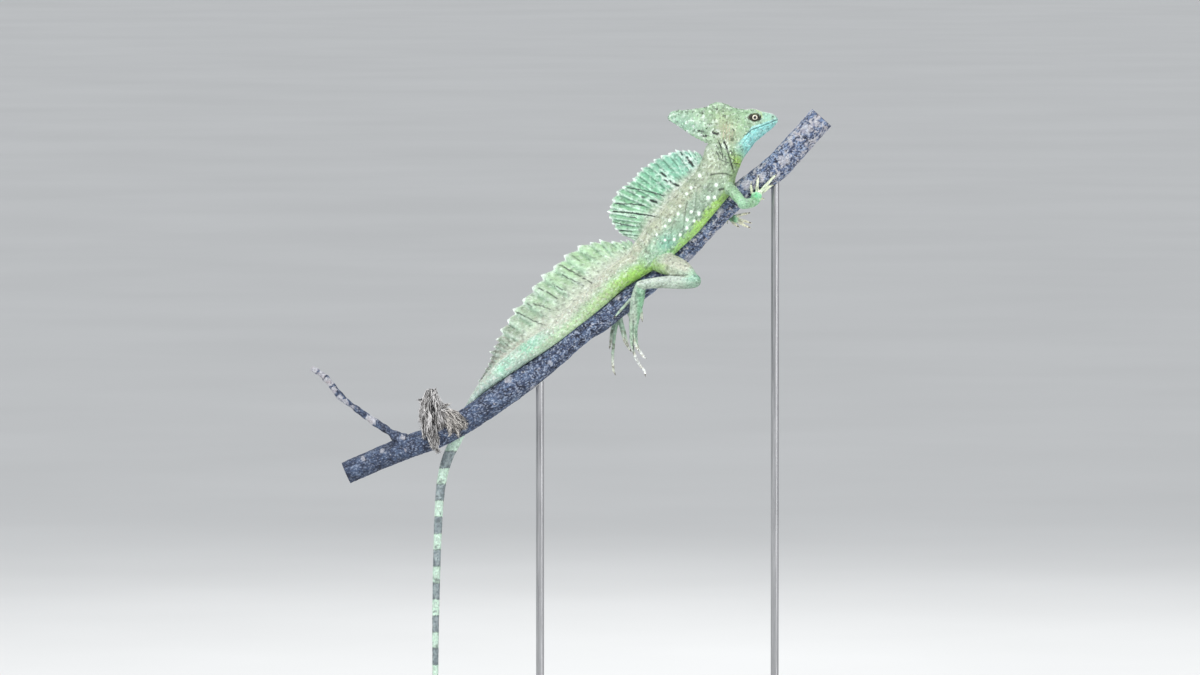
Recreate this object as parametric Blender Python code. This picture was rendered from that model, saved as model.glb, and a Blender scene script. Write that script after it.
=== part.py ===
"""Green basilisk, an adult male, lying on a sloping branch as a still museum model on a plain stand.

Lengths are in millimetres until a mesh is made, which turns them into metres.
X runs along the branch's plan to the right, Z is up, and the animal's right side faces -Y.
The origin is on the floor under the middle of the model, and the branch's axis lies in the plane Y = 0.
"""

import math

import bmesh
import bpy
import numpy as np

# Driving dimensions, in millimetres
MM = 0.001
GAP = 0.3
HALF_GAP = GAP / 2

BASE_LEFT = -205.0
BASE_RIGHT = 245.0
BASE_DEPTH = 180.0
BASE_HEIGHT = 12.0
BASE_CORNER = 12.0
BASE_CORNER_STEPS = 5
BASE_BEVEL = 1.5
BASE_BEVEL_STEPS = 2
TOUCH = 0.01
ROD_RADIUS = 4.0
ROD_LOW_X = -30.0
ROD_HIGH_X = 205.0

TAIL_TIP_HEIGHT = 20.0
FLESH_STEP = 0.5
STATION_CLEAR = 0.02
LOOK_AHEAD = 0.05
MIDDLE_Y = -4.0
EYE_RADIUS = 4.6
EYE_X = 184.5
EYE_Z = 715.3
EYE_OUT = 7.0
EYE_OPENING = (3.8, 3.1)

# The head's forms: the mound round each socket, the lips, the mouth, the nostrils and the ears
MOUND_SHELL = (1.7, 0.8, 0.7)
LIP_LIFTS = (1.25, -1.3)
LIP_SUNK = 0.35
LIP_RADIUS = 0.95
MOUTH_OUT = 0.15
MOUTH_RADIUS = 0.6
MOUTH_STATIONS = (6.1, 5.4, 4.7, 4.0, 3.2, 2.4, 1.5, 0.8)
NOSTRIL_RADII = (0.9, 1.1, 0.8)
EAR_DEPTH = 1.1
CUT_REACH = 12.0
MOUTH_LINE_POINTS = 60
MOUTH_RING_SIDES = 120
SIDE_RING_SIDES = 40
SNOUT_LIFT = 0.8

# The fins: how many rays, thickness at the root and at the edge, depth of the teeth, and sideways sway
SAIL_RAYS = 23
SAIL_THICK = (3.0, 1.1)
SAIL_TOOTH = 2.4
SAIL_SWAY = 1.2
TAIL_CREST_RAYS = 22
TAIL_CREST_THICK = (2.6, 1.0)
TAIL_CREST_TOOTH = 4.0
TAIL_CREST_SWAY = 0.8
FIN_SUNK = 1.6
FIN_ROWS = (0.0, 0.4, 1.0)
FIN_TOOTH_MOST = 0.3
FIN_GROOVE = 0.72
FIN_RIDGE = 0.55
FIN_RIDGE_FADE = 0.4
SWAY_WAVES = 1.1

# Across one ray of a fin, from front to rear: the share of its width, and how far its edge is raised
RAY_COLUMNS = [(0.0, 0.0), (0.45, 0.5), (0.82, 1.0)]

# The casque's shares from root to edge, and its thickness at each
CASQUE_ROWS = (0.0, 0.35, 0.8, 1.0)
CASQUE_THICKS = (8.6, 6.2, 3.0, 1.2)
CASQUE_STEPS = 1.5

# Sides of the round sections
BODY_SIDES = 20
HEAD_SIDES = 26
TAIL_SIDES = 12
LIMB_SIDES = 12
TOE_SIDES = 5
BRANCH_SIDES = 14
TWIG_SIDES = 8
TUFT_SIDES = 8
STRAND_SIDES = 4
ROD_SIDES = 20
END_TURNS = (32, 68)

# Colour, roughness and how metallic each material is
MATERIALS = {
    "skin": ((0.45, 0.62, 0.33), 0.55, 0.0),
    "fin": ((0.36, 0.68, 0.42), 0.5, 0.0),
    "eye": ((0.75, 0.55, 0.2), 0.15, 0.0),
    "bark": ((0.16, 0.18, 0.24), 0.85, 0.0),
    "fibre": ((0.52, 0.46, 0.36), 0.95, 0.0),
    "plinth": ((0.08, 0.08, 0.085), 0.45, 0.0),
    "steel": ((0.35, 0.35, 0.36), 0.35, 1.0),
}
CREASE = 40.0
FIN_CREASE = 30.0
EYE_CREASE = 180.0

# The branch's axis from its lower cut end to its upper one: x, z and radius
BRANCH = [
    (-223.9, 358.2, 11.3),
    (-170.8, 381.5, 11.7),
    (-129.6, 397.1, 12.0),
    (-96, 417.4, 12.4),
    (-48.8, 449.8, 12.9),
    (-16.2, 475.0, 11.4),
    (10.9, 499.4, 11.8),
    (37.9, 518.3, 11.9),
    (94.2, 563.6, 11.8),
    (118.3, 587.2, 11.9),
    (144.4, 614.1, 11.5),
    (166.1, 635.1, 11.8),
    (198.5, 658.4, 13.3),
    (219.3, 679.2, 13.3),
    (251.4, 714.7, 12.8),
]
BRANCH_STEP = 1 / 3

# The branch's slow swellings, as shares of its radius, and the largest share that they reach together
SWELL_BEND = 0.035
SWELL_BEND_RATE = 2.3
SWELL_ROUND = 0.02
SWELL_ROUND_RATE = 1.7
SWELL_LOBES = 3
SWELL_MOST = 1.04

# The twig's axis from inside the branch to its tip: x, y, z and radius
TWIG = [
    (-166, -2, 389.5, 8.0),
    (-180.5, -3, 400.2, 4.5),
    (-198.4, -2, 412, 3.6),
    (-215, 0, 424, 3.1),
    (-229.4, 1, 435.4, 3.3),
    (-242.6, 0, 452, 3.5),
    (-251, -1, 459.3, 2.8),
    (-258.6, -1, 463.8, 2.3),
]

# Flesh from snout to hip and tail, where it lies in one upright plane: the point on the back (x, z),
# the point on the belly (x, z), y of the middle, half width, and the share of the body's outline
FLAT_SECTIONS = [
    (207.3, 712.8, 207.3, 710.2, -4, 1.5, 0.0),
    (206, 715.8, 205.3, 707.4, -4, 4.5, 0.0),
    (202, 718.2, 199.5, 702, -4, 7.5, 0.0),
    (196, 719.8, 191.5, 695.5, -4, 9.5, 0.0),
    (190, 721.2, 185, 690, -4, 11.3, 0.0),
    (183, 723.4, 182.5, 686.5, -4, 12.6, 0.0),
    (175, 722.5, 178.5, 681, -4, 13.2, 0.0),
    (167, 720.5, 175, 676.5, -4, 13.0, 0.2),
    (159, 714.5, 172.5, 672.5, -4, 12.6, 0.4),
    (151, 705, 171, 669.5, -4.3, 12.2, 0.7),
    (143.5, 693.5, 169.8, 666, -4.6, 12.2, 1.0),
    (135.8, 686.2, 168.5, 662.5, -5, 12.8, 1.0),
    (133, 677.5, 166.5, 658, -5.3, 13.8, 1.0),
    (129.5, 668.5, 165, 651.5, -5.6, 15.2, 1.0),
    (125, 660, 163, 642, -6, 17.0, 1.0),
    (116, 651, 157, 633, -6, 18.0, 1.0),
    (106.5, 643, 148, 622.5, -6, 18.3, 1.0),
    (97, 631, 139, 611.5, -6, 18.0, 1.0),
    (88, 620, 129, 599.5, -6, 17.5, 1.0),
    (78, 608.5, 115.5, 586.5, -6, 16.8, 1.0),
    (70.5, 597.5, 98, 571.5, -6, 15.5, 1.0),
    (63.5, 589, 87, 563.5, -5.5, 14.3, 1.0),
    (59, 580, 76, 556.5, -5, 12.7, 1.0),
    (38.2, 565.3, 55.8, 544.7, -4.5, 11.5, 1.0),
    (21.2, 548.6, 38.8, 529.4, -4.5, 11.0, 1.0),
    (2.5, 529.8, 19.5, 512.2, -4, 10.5, 1.0),
    (-17.6, 509.8, -4.0, 493.6, -4, 9.2, 1.0),
    (-38.5, 495.7, -26.8, 479.2, -3.5, 8.6, 1.0),
    (-52.1, 486.4, -41.0, 470.3, -2.5, 8.2, 1.0),
]

# The tail where it rolls over the branch to the far side and hangs:
# x, y, z of the middle, the roll in degrees from straight up to the far side, half depth, half width
ROLLED_SECTIONS = [
    (-69.6, 1, 461.3, 3, 8.7, 7.6),
    (-85, 7.2, 446, 26, 6.9, 6.9),
    (-91.5, 11, 437, 36, 6.6, 6.6),
    (-96.3, 15, 429, 50, 6.4, 6.4),
    (-100.8, 17.8, 420, 70, 6.3, 6.3),
    (-106, 19.2, 409, 90, 6.2, 6.2),
    (-113.5, 18.9, 391.5, 90, 6.1, 6.1),
    (-121, 18, 377, 90, 5.8, 5.8),
    (-126, 17.5, 362, 90, 5.4, 5.4),
    (-129.8, 17, 342, 90, 4.9, 4.9),
    (-132, 16.5, 312, 90, 4.4, 4.4),
    (-133.5, 16, 272, 90, 4.1, 4.1),
    (-134.5, 15.5, 232, 90, 3.8, 3.8),
    (-135, 14.6, 194, 90, 3.5, 3.5),
    (-135.2, 14, 157, 90, 3.2, 3.2),
    (-135.5, 13.4, 122, 90, 2.7, 2.7),
    (-135.7, 12.9, 88, 90, 2.1, 2.1),
    (-135.9, 12.4, 54, 90, 1.5, 1.5),
    (-136, 12, TAIL_TIP_HEIGHT, 90, 0.5, 0.5),
]
BRANCH_NORMAL = np.array([-0.543, 0.0, 0.840])

# Where the flesh is parted, counted in sections from the snout
HEAD_END = 10.0
NECK_END = 13.0
TORSO_END = 22.0
TAIL_BASE_END = 28.0
TAIL_BEND_END = 35.5
TAIL_UPPER_END = 40.0
TAIL_TIP = float(len(FLAT_SECTIONS) + len(ROLLED_SECTIONS) - 1)

# Half outlines of a cross section from back to belly: sideways and upward shares of the half sizes
HEAD_OUTLINE = [
    (0, 1),
    (0.34, 0.98),
    (0.64, 0.86),
    (0.80, 0.50),
    (0.96, 0.08),
    (0.98, -0.30),
    (0.66, -0.72),
    (0.30, -0.94),
    (0, -1),
]
BODY_OUTLINE = [
    (0, 1),
    (0.24, 0.95),
    (0.52, 0.78),
    (0.82, 0.42),
    (0.99, -0.06),
    (0.95, -0.46),
    (0.70, -0.80),
    (0.36, -0.96),
    (0, -1),
]

# The sail on the back: the place of each key ray along the flesh, and the ray's tip (x, z)
SAIL_KEYS = [
    (12.5, 129.7, 679),
    (13.5, 118, 681.3),
    (14.3, 106.5, 681),
    (15.05, 92, 676),
    (15.9, 79, 668.3),
    (16.6, 68.5, 659.5),
    (17.15, 60.6, 650),
    (17.8, 49.5, 642.5),
    (18.3, 41.5, 628.5),
    (18.75, 39, 618),
    (19.25, 44.5, 606.5),
    (20.0, 51, 598.5),
    (20.7, 60.5, 594.5),
]

# The crest on the tail, in the same way
TAIL_CREST_KEYS = [
    (21.2, 60.5, 592),
    (21.8, 52, 590.5),
    (22.5, 33, 590.5),
    (23.0, 13, 587),
    (24.0, -10.5, 570),
    (25.0, -30, 551.5),
    (26.0, -48, 529.5),
    (27.0, -62, 511.5),
    (28.0, -71.5, 493),
    (28.5, -77, 481),
    (29.0, -80, 470),
    (29.5, -85, 460),
    (30.0, -91.5, 449.5),
]

# The head's crest: each point of its edge (x, z), and the point in the skull that it fans out from (x, z)
HEAD_CREST = [
    (176, 722.5, 172, 718.5),
    (165, 724, 167, 718),
    (159, 726.5, 163, 717.5),
    (154.7, 728.7, 161, 716),
    (148, 730, 159, 714),
    (143, 729, 157, 712),
    (139.4, 728.2, 156, 711),
    (138, 725.6, 155.5, 710.5),
    (126.5, 723.7, 154, 708),
    (115, 722, 153, 706.5),
    (106.6, 722, 152, 705),
    (101, 720, 151, 704),
    (98, 715.8, 150.5, 703),
    (99.5, 711.5, 150, 702),
    (107, 707.6, 149.5, 701),
    (115, 702, 149, 700),
    (123, 696.4, 148, 698.5),
    (131.5, 692, 147.5, 696.5),
    (140.6, 687.5, 147, 693),
]

MOUTH = [(176.0, 698.0), (181, 703), (189.5, 706), (198.6, 709.6), (205.5, 712.2), (208, 712.4)]
SNOUT_X = 207.3
SNOUT_Z = 711.9
NOSTRIL = (202.3, 715.7)
EAR = (162.0, 697.5)
EAR_SIZE = (3.0, 5.8)

# Each limb: the middle of each section (x, y, z) and its radius
THIGH_RIGHT = [
    (80, -4, 573, 9),
    (92, -14, 570, 10.8),
    (104, -22, 567, 11),
    (115, -28.5, 561.5, 9.4),
    (123, -32.5, 555, 5.6),
]
SHANK_RIGHT = [
    (124, -33, 553, 7.3),
    (112, -31.5, 551.5, 7.0),
    (98, -29, 551.5, 6.4),
    (84, -25, 550.5, 5.6),
    (71, -21, 548.5, 4.8),
]
INSTEP_RIGHT = [
    (71, -20.5, 548, 5.6),
    (68.9, -19.8, 541, 6.4),
    (67, -19.3, 531, 6.9),
    (64.9, -18.8, 519, 5.7),
    (63.5, -18.3, 508, 4.8),
    (63.3, -18, 500, 3.9),
]
THIGH_LEFT = [
    (80, -2, 573, 8.6),
    (88, 9, 573, 10.4),
    (98, 19, 572, 10.6),
    (105, 26.5, 570.5, 9.2),
    (109, 31.5, 567.5, 5.6),
]
SHANK_LEFT = [
    (109.5, 32.5, 566, 7.3),
    (98, 31, 564.5, 7.0),
    (84, 28, 562, 6.2),
    (70, 24, 559, 5.4),
    (58, 20.5, 556, 4.8),
]
INSTEP_LEFT = [
    (58, 20.5, 555, 5.2),
    (55, 20.5, 547, 5.4),
    (52.5, 20.5, 536, 5.4),
    (50.5, 19.5, 524, 4.8),
    (49, 18.5, 515, 4.2),
    (48.5, 18, 511, 3.6),
]
UPPER_ARM_RIGHT = [
    (149, -9, 648, 6.4),
    (158.6, -17, 645.2, 6.0),
    (166.3, -26, 637.4, 5.7),
    (171.2, -32.5, 631.4, 4.6),
]
FOREARM_RIGHT = [
    (171.9, -34, 629.8, 5.5),
    (176.6, -28, 629.8, 5.3),
    (181.2, -21, 630.4, 5.1),
    (184.6, -15.6, 631.8, 4.9),
]
PALM_RIGHT = [(183, -15.6, 631.6, 4.9), (185.8, -14.6, 634.8, 5.6), (187.4, -14, 638, 4.4)]
UPPER_ARM_LEFT = [
    (149, -2, 648, 6.4),
    (150, 8, 645, 6.2),
    (149, 19, 637, 5.2),
    (146.3, 27.3, 628.8, 3.6),
]
FOREARM_LEFT = [
    (146, 28.5, 627, 5.1),
    (150, 24, 623.5, 4.6),
    (154, 18, 620, 4.0),
    (157, 13.5, 617.5, 3.4),
]
PALM_LEFT = [(156.5, 13.2, 617.5, 3.2), (160, 9.8, 614.8, 3.5), (164, 6.2, 612.5, 2.8)]
FLAT_HAND = 0.7

# Fingers and toes in the view from the right side (x, z), and then their depth,
# or None where they lie on the branch
FINGERS_RIGHT = [
    [(184, 636.5, -12.9), (181.4, 640.5, None), (180.7, 646, None), (180.9, 650.6, None)],
    [(187, 638.6, -12.9), (186.8, 645, None), (187.2, 652, None), (188.5, 658, None)],
    [
        (188.5, 639, -12.9),
        (193.5, 645.5, None),
        (198.5, 650.5, None),
        (203.3, 656, None),
        (207, 658.4, None),
    ],
    [(188.5, 638, -12.9), (194.5, 642, None), (199.5, 646.3, None), (203.8, 648, None)],
    [(186, 636.5, -12.9), (190.5, 634.0, -10.5), (194.7, 633.8, -9.5)],
]
FINGERS_LEFT = [
    [(162, 614.5, 7), (168, 616.5, 3.5), (175, 618.3, 1.5), (181, 619.2, 0.5)],
    [(163, 613.8, 7), (170, 612, 4.5), (176, 610.5, 3), (181.7, 608.7, 2.5)],
    [(163, 613, 7), (169, 609.3, 6), (175, 606.3, 5), (181, 603.6, 4.5)],
    [(161, 612, 8.5), (164, 608, 8), (169.5, 604.2, 7.5)],
    [(159, 616.5, 12.4), (157, 612, 13.4), (157.5, 607.5, 13.4)],
]
TOES_RIGHT = [
    [
        (61.8, 504, -18),
        (61, 496, -17.5),
        (61.7, 488.4, -17),
        (63.5, 482, -16.5),
        (65.5, 475, -16),
        (69.6, 468, -16),
        (74.6, 462, -16.5),
        (75.6, 456, -17),
    ],
    [
        (65.3, 504, -17),
        (65.8, 496, -15.8),
        (66.4, 488, -14.8),
        (70, 481, -14),
        (73.6, 476, -14.5),
        (76.4, 474.3, -15),
    ],
    [(63.5, 505, -20.5), (63.8, 497, -21), (64.8, 490.5, -20.5), (67, 485, -20), (69.3, 481, -20)],
    [(69.2, 528, -19), (71.2, 521, -17.5), (72, 515.5, -17), (72.3, 511, -17.5)],
    [(67.5, 537, -19.5), (60, 533, None), (55, 527.5, None), (49.5, 521.5, None), (43.8, 514.5, None)],
]
TOES_LEFT = [
    [
        (48, 514, 18),
        (46.5, 507, 17.5),
        (44.8, 498, 17),
        (43.6, 488, 16.5),
        (42.8, 478, 16.3),
        (42.8, 467, 16.3),
        (43.6, 460, 16.7),
        (45.6, 455.5, 17.2),
    ],
    [
        (50, 515, 18.5),
        (52, 507, 18.3),
        (54.2, 500, 17.7),
        (56, 492, 17),
        (58, 484, 17),
        (61.5, 479, 17.5),
    ],
    [(49.5, 514, 16.2), (50.5, 506, 14.8), (52.5, 498, 14), (54.5, 490, 14), (56.3, 485, 14.5)],
    [(47, 516, 21), (43.6, 506, 21.3), (41.4, 497, 20.8), (40.6, 488.5, 20.4), (39.4, 481.5, 20.6)],
    [(53.5, 528, 18), (57, 521, 18), (60, 514, 18.5), (62, 508, 19)],
]
TOE_RADIUS = 2.1
FINGER_RADIUS = 2.0
DIGIT_TAPER = 0.36
CLAW_TIP = 0.35
CLAW_START = 0.4

LIMBS = [
    (("thigh_right", THIGH_RIGHT), ("shank_right", SHANK_RIGHT), ("foot_right", INSTEP_RIGHT)),
    (("thigh_left", THIGH_LEFT), ("shank_left", SHANK_LEFT), ("foot_left", INSTEP_LEFT)),
    (("upper_arm_right", UPPER_ARM_RIGHT), ("forearm_right", FOREARM_RIGHT), ("hand_right", PALM_RIGHT)),
    (("upper_arm_left", UPPER_ARM_LEFT), ("forearm_left", FOREARM_LEFT), ("hand_left", PALM_LEFT)),
]
DIGITS = {
    "foot_right": (TOES_RIGHT, TOE_RADIUS),
    "foot_left": (TOES_LEFT, TOE_RADIUS),
    "hand_right": (FINGERS_RIGHT, FINGER_RADIUS),
    "hand_left": (FINGERS_LEFT, FINGER_RADIUS),
}

# The clump of fibres: its upright lobe, the low one beside the tail, and the part on the near side
TUFT_CREST = [
    (-138.5, -4, 401, 9),
    (-138, -4, 414, 11.5),
    (-138.5, -3, 428, 10.5),
    (-139, -2, 437.5, 6.8),
]
TUFT_LOW = [(-134, -5, 411, 9.5), (-122, -8, 416, 9), (-112, -10, 410.5, 8.8), (-104.5, -9, 412.5, 4.6)]
TUFT_APRON = [(-139, -11, 412, 5), (-138, -15.5, 400, 5), (-136, -15.5, 389, 3.5)]

# Strands that hang from it: the root's x and z, the end's z, and how far the end drifts to the right
STRANDS = [
    (-148, 424, 409, -3),
    (-146, 412, 394, 0),
    (-141, 408, 391, 1),
    (-137, 406, 383, 1),
    (-133, 405, 377, 0),
    (-129, 406, 388, 1),
    (-121, 410, 397, 2),
    (-113, 408, 394, 1),
    (-105, 406, 391, 2),
]
STRAND_DEPTHS = (-8.0, -15.0, -16.0)
STRAND_RADII = (2.8, 2.2, 0.8)

# Short tips that stick out of it: the root's x and z, the way in degrees, and the length
TIPS = [(-139, 431, 172, 14), (-136, 434, 80, 13), (-131, 424, 25, 13)]
TIP_Y = -3.0
TIP_SHARES = (0.2, 0.6, 1.0)
TIP_RADII = (3.0, 2.4, 0.7)


# Smooth tracks through rows of numbers
def blend(rows, place):
    """The row at a place counted in rows, on a smooth curve through all of them."""
    rows = np.asarray(rows, float)
    last = len(rows) - 1
    place = min(max(place, 0.0), float(last))
    index = min(int(place), last - 1)
    share = place - index
    a = rows[index]
    b = rows[index + 1]
    before = rows[index - 1] if index > 0 else 2 * a - b
    after = rows[index + 2] if index + 2 <= last else 2 * b - a
    start = (b - before) / 2
    end = (after - a) / 2
    square = share * share
    cube = square * share
    return (
        (2 * cube - 3 * square + 1) * a
        + (cube - 2 * square + share) * start
        + (3 * square - 2 * cube) * b
        + (cube - square) * end
    )


def heading(rows, place, size=3):
    """The direction of a track at a place."""
    return unit(blend(rows, place + LOOK_AHEAD)[:size] - blend(rows, place - LOOK_AHEAD)[:size])


def unit(vector):
    return vector / np.linalg.norm(vector)


# Meshes
def make(name, points, faces):
    """A mesh object from points in millimetres, with its faces turned outward."""
    mesh = bpy.data.meshes.new(name)
    mesh.from_pydata([tuple(point) for point in np.asarray(points) * MM], [], faces)
    work = bmesh.new()
    work.from_mesh(mesh)
    bmesh.ops.recalc_face_normals(work, faces=work.faces)
    work.to_mesh(mesh)
    work.free()
    item = bpy.data.objects.new(name, mesh)
    bpy.context.scene.collection.objects.link(item)
    return item


def through_rings(name, rings):
    """A closed surface through rings of points, with a flat face over each end."""
    sides = len(rings[0])
    points = np.concatenate(rings)
    faces = []
    for row in range(len(rings) - 1):
        low = row * sides
        high = low + sides
        for side in range(sides):
            after = (side + 1) % sides
            faces.append((low + side, low + after, high + after, high + side))
    faces.append(tuple(range(sides)))
    top = (len(rings) - 1) * sides
    faces.append(tuple(range(top, top + sides)))
    return make(name, points, faces)


def remove(item):
    mesh = item.data
    bpy.data.objects.remove(item)
    bpy.data.meshes.remove(mesh)


def combine(item, operation, others):
    """One Boolean on a collection, applied, with the collection's objects removed afterwards."""
    group = bpy.data.collections.new("others")
    for other in others:
        group.objects.link(other)
    modifier = item.modifiers.new("combine", "BOOLEAN")
    modifier.operand_type = "COLLECTION"
    modifier.collection = group
    modifier.operation = operation
    modifier.solver = "EXACT"
    evaluated = item.evaluated_get(bpy.context.evaluated_depsgraph_get())
    result = bpy.data.meshes.new_from_object(evaluated)
    item.modifiers.clear()
    before = item.data
    item.data = result
    bpy.data.meshes.remove(before)
    bpy.data.collections.remove(group)
    for other in others:
        remove(other)
    keep_largest(item)


def keep_largest(item):
    """Drops every loose scrap and sealed hollow, so that one closed surface is left."""
    work = bmesh.new()
    work.from_mesh(item.data)
    bmesh.ops.remove_doubles(work, verts=work.verts, dist=0.004 * MM)
    bmesh.ops.dissolve_degenerate(work, edges=work.edges, dist=0.002 * MM)
    left = set(work.faces)
    groups = []
    while left:
        stack = [left.pop()]
        group = []
        while stack:
            face = stack.pop()
            group.append(face)
            for edge in face.edges:
                for near in edge.link_faces:
                    if near in left:
                        left.remove(near)
                        stack.append(near)
        groups.append(group)
    groups.sort(key=lambda group: sum(face.calc_area() for face in group))
    for group in groups[:-1]:
        bmesh.ops.delete(work, geom=group, context="FACES")
    loose = [point for point in work.verts if not point.link_faces]
    bmesh.ops.delete(work, geom=loose, context="VERTS")
    work.to_mesh(item.data)
    work.free()


def finish(item, material, crease=CREASE):
    item.data.materials.clear()
    item.data.materials.append(material)
    item.data.shade_smooth()
    item.data.set_sharp_from_angle(angle=math.radians(crease))
    return item


# Materials
def material(name, colour, roughness, metallic):
    made = bpy.data.materials.new(name)
    made.use_nodes = True
    shader = made.node_tree.nodes["Principled BSDF"]
    shader.inputs["Base Color"].default_value = (*colour, 1.0)
    shader.inputs["Roughness"].default_value = roughness
    shader.inputs["Metallic"].default_value = metallic
    return made


# The flesh
def flesh_rows():
    """A section's row: middle, upward direction, half depth, half width, share of the body's outline."""
    rows = []
    for back_x, back_z, belly_x, belly_z, y, width, share in FLAT_SECTIONS:
        back = np.array([back_x, y, back_z])
        belly = np.array([belly_x, y, belly_z])
        depth = np.linalg.norm(back - belly) / 2
        rows.append([*((back + belly) / 2), *unit(back - belly), depth, width, share])
    for x, y, z, roll, depth, width in ROLLED_SECTIONS:
        turn = math.radians(roll)
        up = math.cos(turn) * BRANCH_NORMAL + math.sin(turn) * np.array([0.0, 1.0, 0.0])
        rows.append([x, y, z, *unit(up), depth, width, 1.0])
    return np.array(rows)


FLESH = flesh_rows()


def flesh_frame(place):
    """Middle, sideways and upward directions, half depth, half width and outline share at a place."""
    row = blend(FLESH, place)
    up = unit(row[3:6])
    side = unit(np.cross(up, heading(FLESH, place)))
    return row[:3], side, up, row[6], row[7], row[8]


def flesh_ring(place, sides, grow=0.0):
    """The points of one section of the flesh, from the back down the right side and up the left one."""
    middle, side, up, depth, width, share = flesh_frame(place)
    head = np.array(HEAD_OUTLINE)
    body = np.array(BODY_OUTLINE)
    outline = head * (1 - share) + body * share
    half = sides // 2
    right = [blend(outline, (len(outline) - 1) * step / half) for step in range(half + 1)]
    left = [np.array([-point[0], point[1]]) for point in right[-2:0:-1]]
    across = side * (width + grow)
    upward = up * (depth + grow)
    return np.array([middle + across * point[0] + upward * point[1] for point in right + left])


def flesh_stations(start, end):
    """The places of the rings between two cuts: the same for a node and for what cuts its neighbours."""
    regular = np.arange(0.0, TAIL_TIP + FLESH_STEP / 2, FLESH_STEP)
    inner = [place for place in regular if start + STATION_CLEAR < place < end - STATION_CLEAR]
    return [start, *inner, end]


def step_along(place, distance):
    """The place a short distance further along the flesh."""
    apart = blend(FLESH, place + LOOK_AHEAD)[:3] - blend(FLESH, place - LOOK_AHEAD)[:3]
    return place + distance * 2 * LOOK_AHEAD / np.linalg.norm(apart)


def flesh(name, start, end, sides=BODY_SIDES, grow=0.0):
    return through_rings(name, [flesh_ring(place, sides, grow) for place in flesh_stations(start, end)])


def flesh_piece(name, start, end, sides=BODY_SIDES):
    """A length of the flesh, ending half a gap short of each cut."""
    first = start if start == 0.0 else step_along(start, HALF_GAP)
    last = end if end == TAIL_TIP else step_along(end, -HALF_GAP)
    return flesh(name, first, last, sides)


def back_point(place, lift=0.0):
    middle, side, up, depth, width, share = flesh_frame(place)
    return middle + up * (depth + lift)


# Branch and what lies on it
def branch_radius(place, angle, radius):
    """The radius with slow swellings, so that the branch isn't a turned rod."""
    bend = SWELL_BEND * math.sin(SWELL_BEND_RATE * place + 1.0) * math.cos(angle - place)
    lobes = SWELL_ROUND * math.sin(SWELL_LOBES * angle + SWELL_ROUND_RATE * place)
    return radius * (1 + bend + lobes)


def branch_ring(place, sides, grow=0.0):
    x, z, radius = blend(BRANCH, place)
    ahead = heading(BRANCH, place, 2)
    along = np.array([ahead[0], 0.0, ahead[1]])
    across = np.array([0.0, 1.0, 0.0])
    up = np.cross(along, across) * -1.0
    ring = []
    for step in range(sides):
        angle = 2 * math.pi * step / sides
        out = math.cos(angle) * up + math.sin(angle) * across
        ring.append(np.array([x, 0.0, z]) + out * (branch_radius(place, angle, radius) + grow))
    return np.array(ring)


def branch(name, grow=0.0):
    places = np.arange(0.0, len(BRANCH) - 1 + BRANCH_STEP / 2, BRANCH_STEP)
    return through_rings(name, [branch_ring(place, BRANCH_SIDES, grow) for place in places])


def branch_near(x, z):
    """The place along the branch nearest to a point of the view, and its distance above the axis."""
    places = np.arange(0.0, len(BRANCH) - 1 + 0.01, 0.05)
    axis = np.array([blend(BRANCH, place) for place in places])
    nearest = int(np.argmin(np.hypot(axis[:, 0] - x, axis[:, 1] - z)))
    place = places[nearest]
    along = heading(BRANCH, place, 2)
    offset = np.array([x, z]) - axis[nearest, :2]
    return place, offset[1] * along[0] - offset[0] * along[1]


def on_branch(x, z, radius):
    """The depth at which a finger of this radius lies on the near side of the branch."""
    place, height = branch_near(x, z)
    reach = blend(BRANCH, place)[2] * SWELL_MOST + GAP + radius
    room = reach * reach - height * height
    return -math.sqrt(room) if room > 0 else 0.0


# Limbs
def tube_ring(rows, place, sides, grow=0.0, flat=1.0):
    x, y, z, radius = blend(rows, place)
    ahead = heading(rows, place)
    across = np.array([0.0, 1.0, 0.0]) if abs(ahead[1]) < 0.9 else np.array([1.0, 0.0, 0.0])
    first = unit(np.cross(ahead, across))
    second = np.cross(ahead, first)
    ring = []
    for step in range(sides):
        angle = 2 * math.pi * step / sides
        out = math.cos(angle) * first + math.sin(angle) * second * flat
        ring.append(np.array([x, y, z]) + out * (radius + grow))
    return ring


def end_rings(rows, place, sign, sides, grow, flat):
    """Rings that shrink over a rounded end."""
    middle = blend(rows, place)
    ahead = heading(rows, place) * sign
    base = np.array(tube_ring(rows, place, sides, grow, flat))
    rings = []
    for turn in END_TURNS:
        lean = math.radians(turn)
        onward = ahead * (middle[3] + grow) * math.sin(lean)
        rings.append(middle[:3] + (base - middle[:3]) * math.cos(lean) + onward)
    return rings


def limb(name, rows, grow=0.0, sides=LIMB_SIDES, steps=2, flat=1.0):
    last = len(rows) - 1
    places = np.linspace(0, last, last * steps + 1)
    start = end_rings(rows, 0, -1, sides, grow, flat)[::-1]
    middle = [np.array(tube_ring(rows, place, sides, grow, flat)) for place in places]
    end = end_rings(rows, last, 1, sides, grow, flat)
    return through_rings(name, start + middle + end)


def digit(name, points, radius):
    """A finger or toe that tapers into a claw."""
    rows = []
    last = len(points) - 1
    for index, (x, z, y) in enumerate(points):
        size = CLAW_TIP if index == last else radius * (1 - DIGIT_TAPER * index / last)
        depth = on_branch(x, z, radius) if y is None else y
        rows.append((x, depth, z, size))
    places = [0, *range(1, last), last - CLAW_START, last]
    return through_rings(name, [np.array(tube_ring(rows, place, TOE_SIDES)) for place in places])


def extremity(name, palm, digits, radius):
    """A hand or foot: its palm or instep with five digits, joined."""
    body = limb(name, palm, flat=FLAT_HAND)
    combine(body, "UNION", [digit(name, points, radius) for points in digits])
    return body


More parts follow.
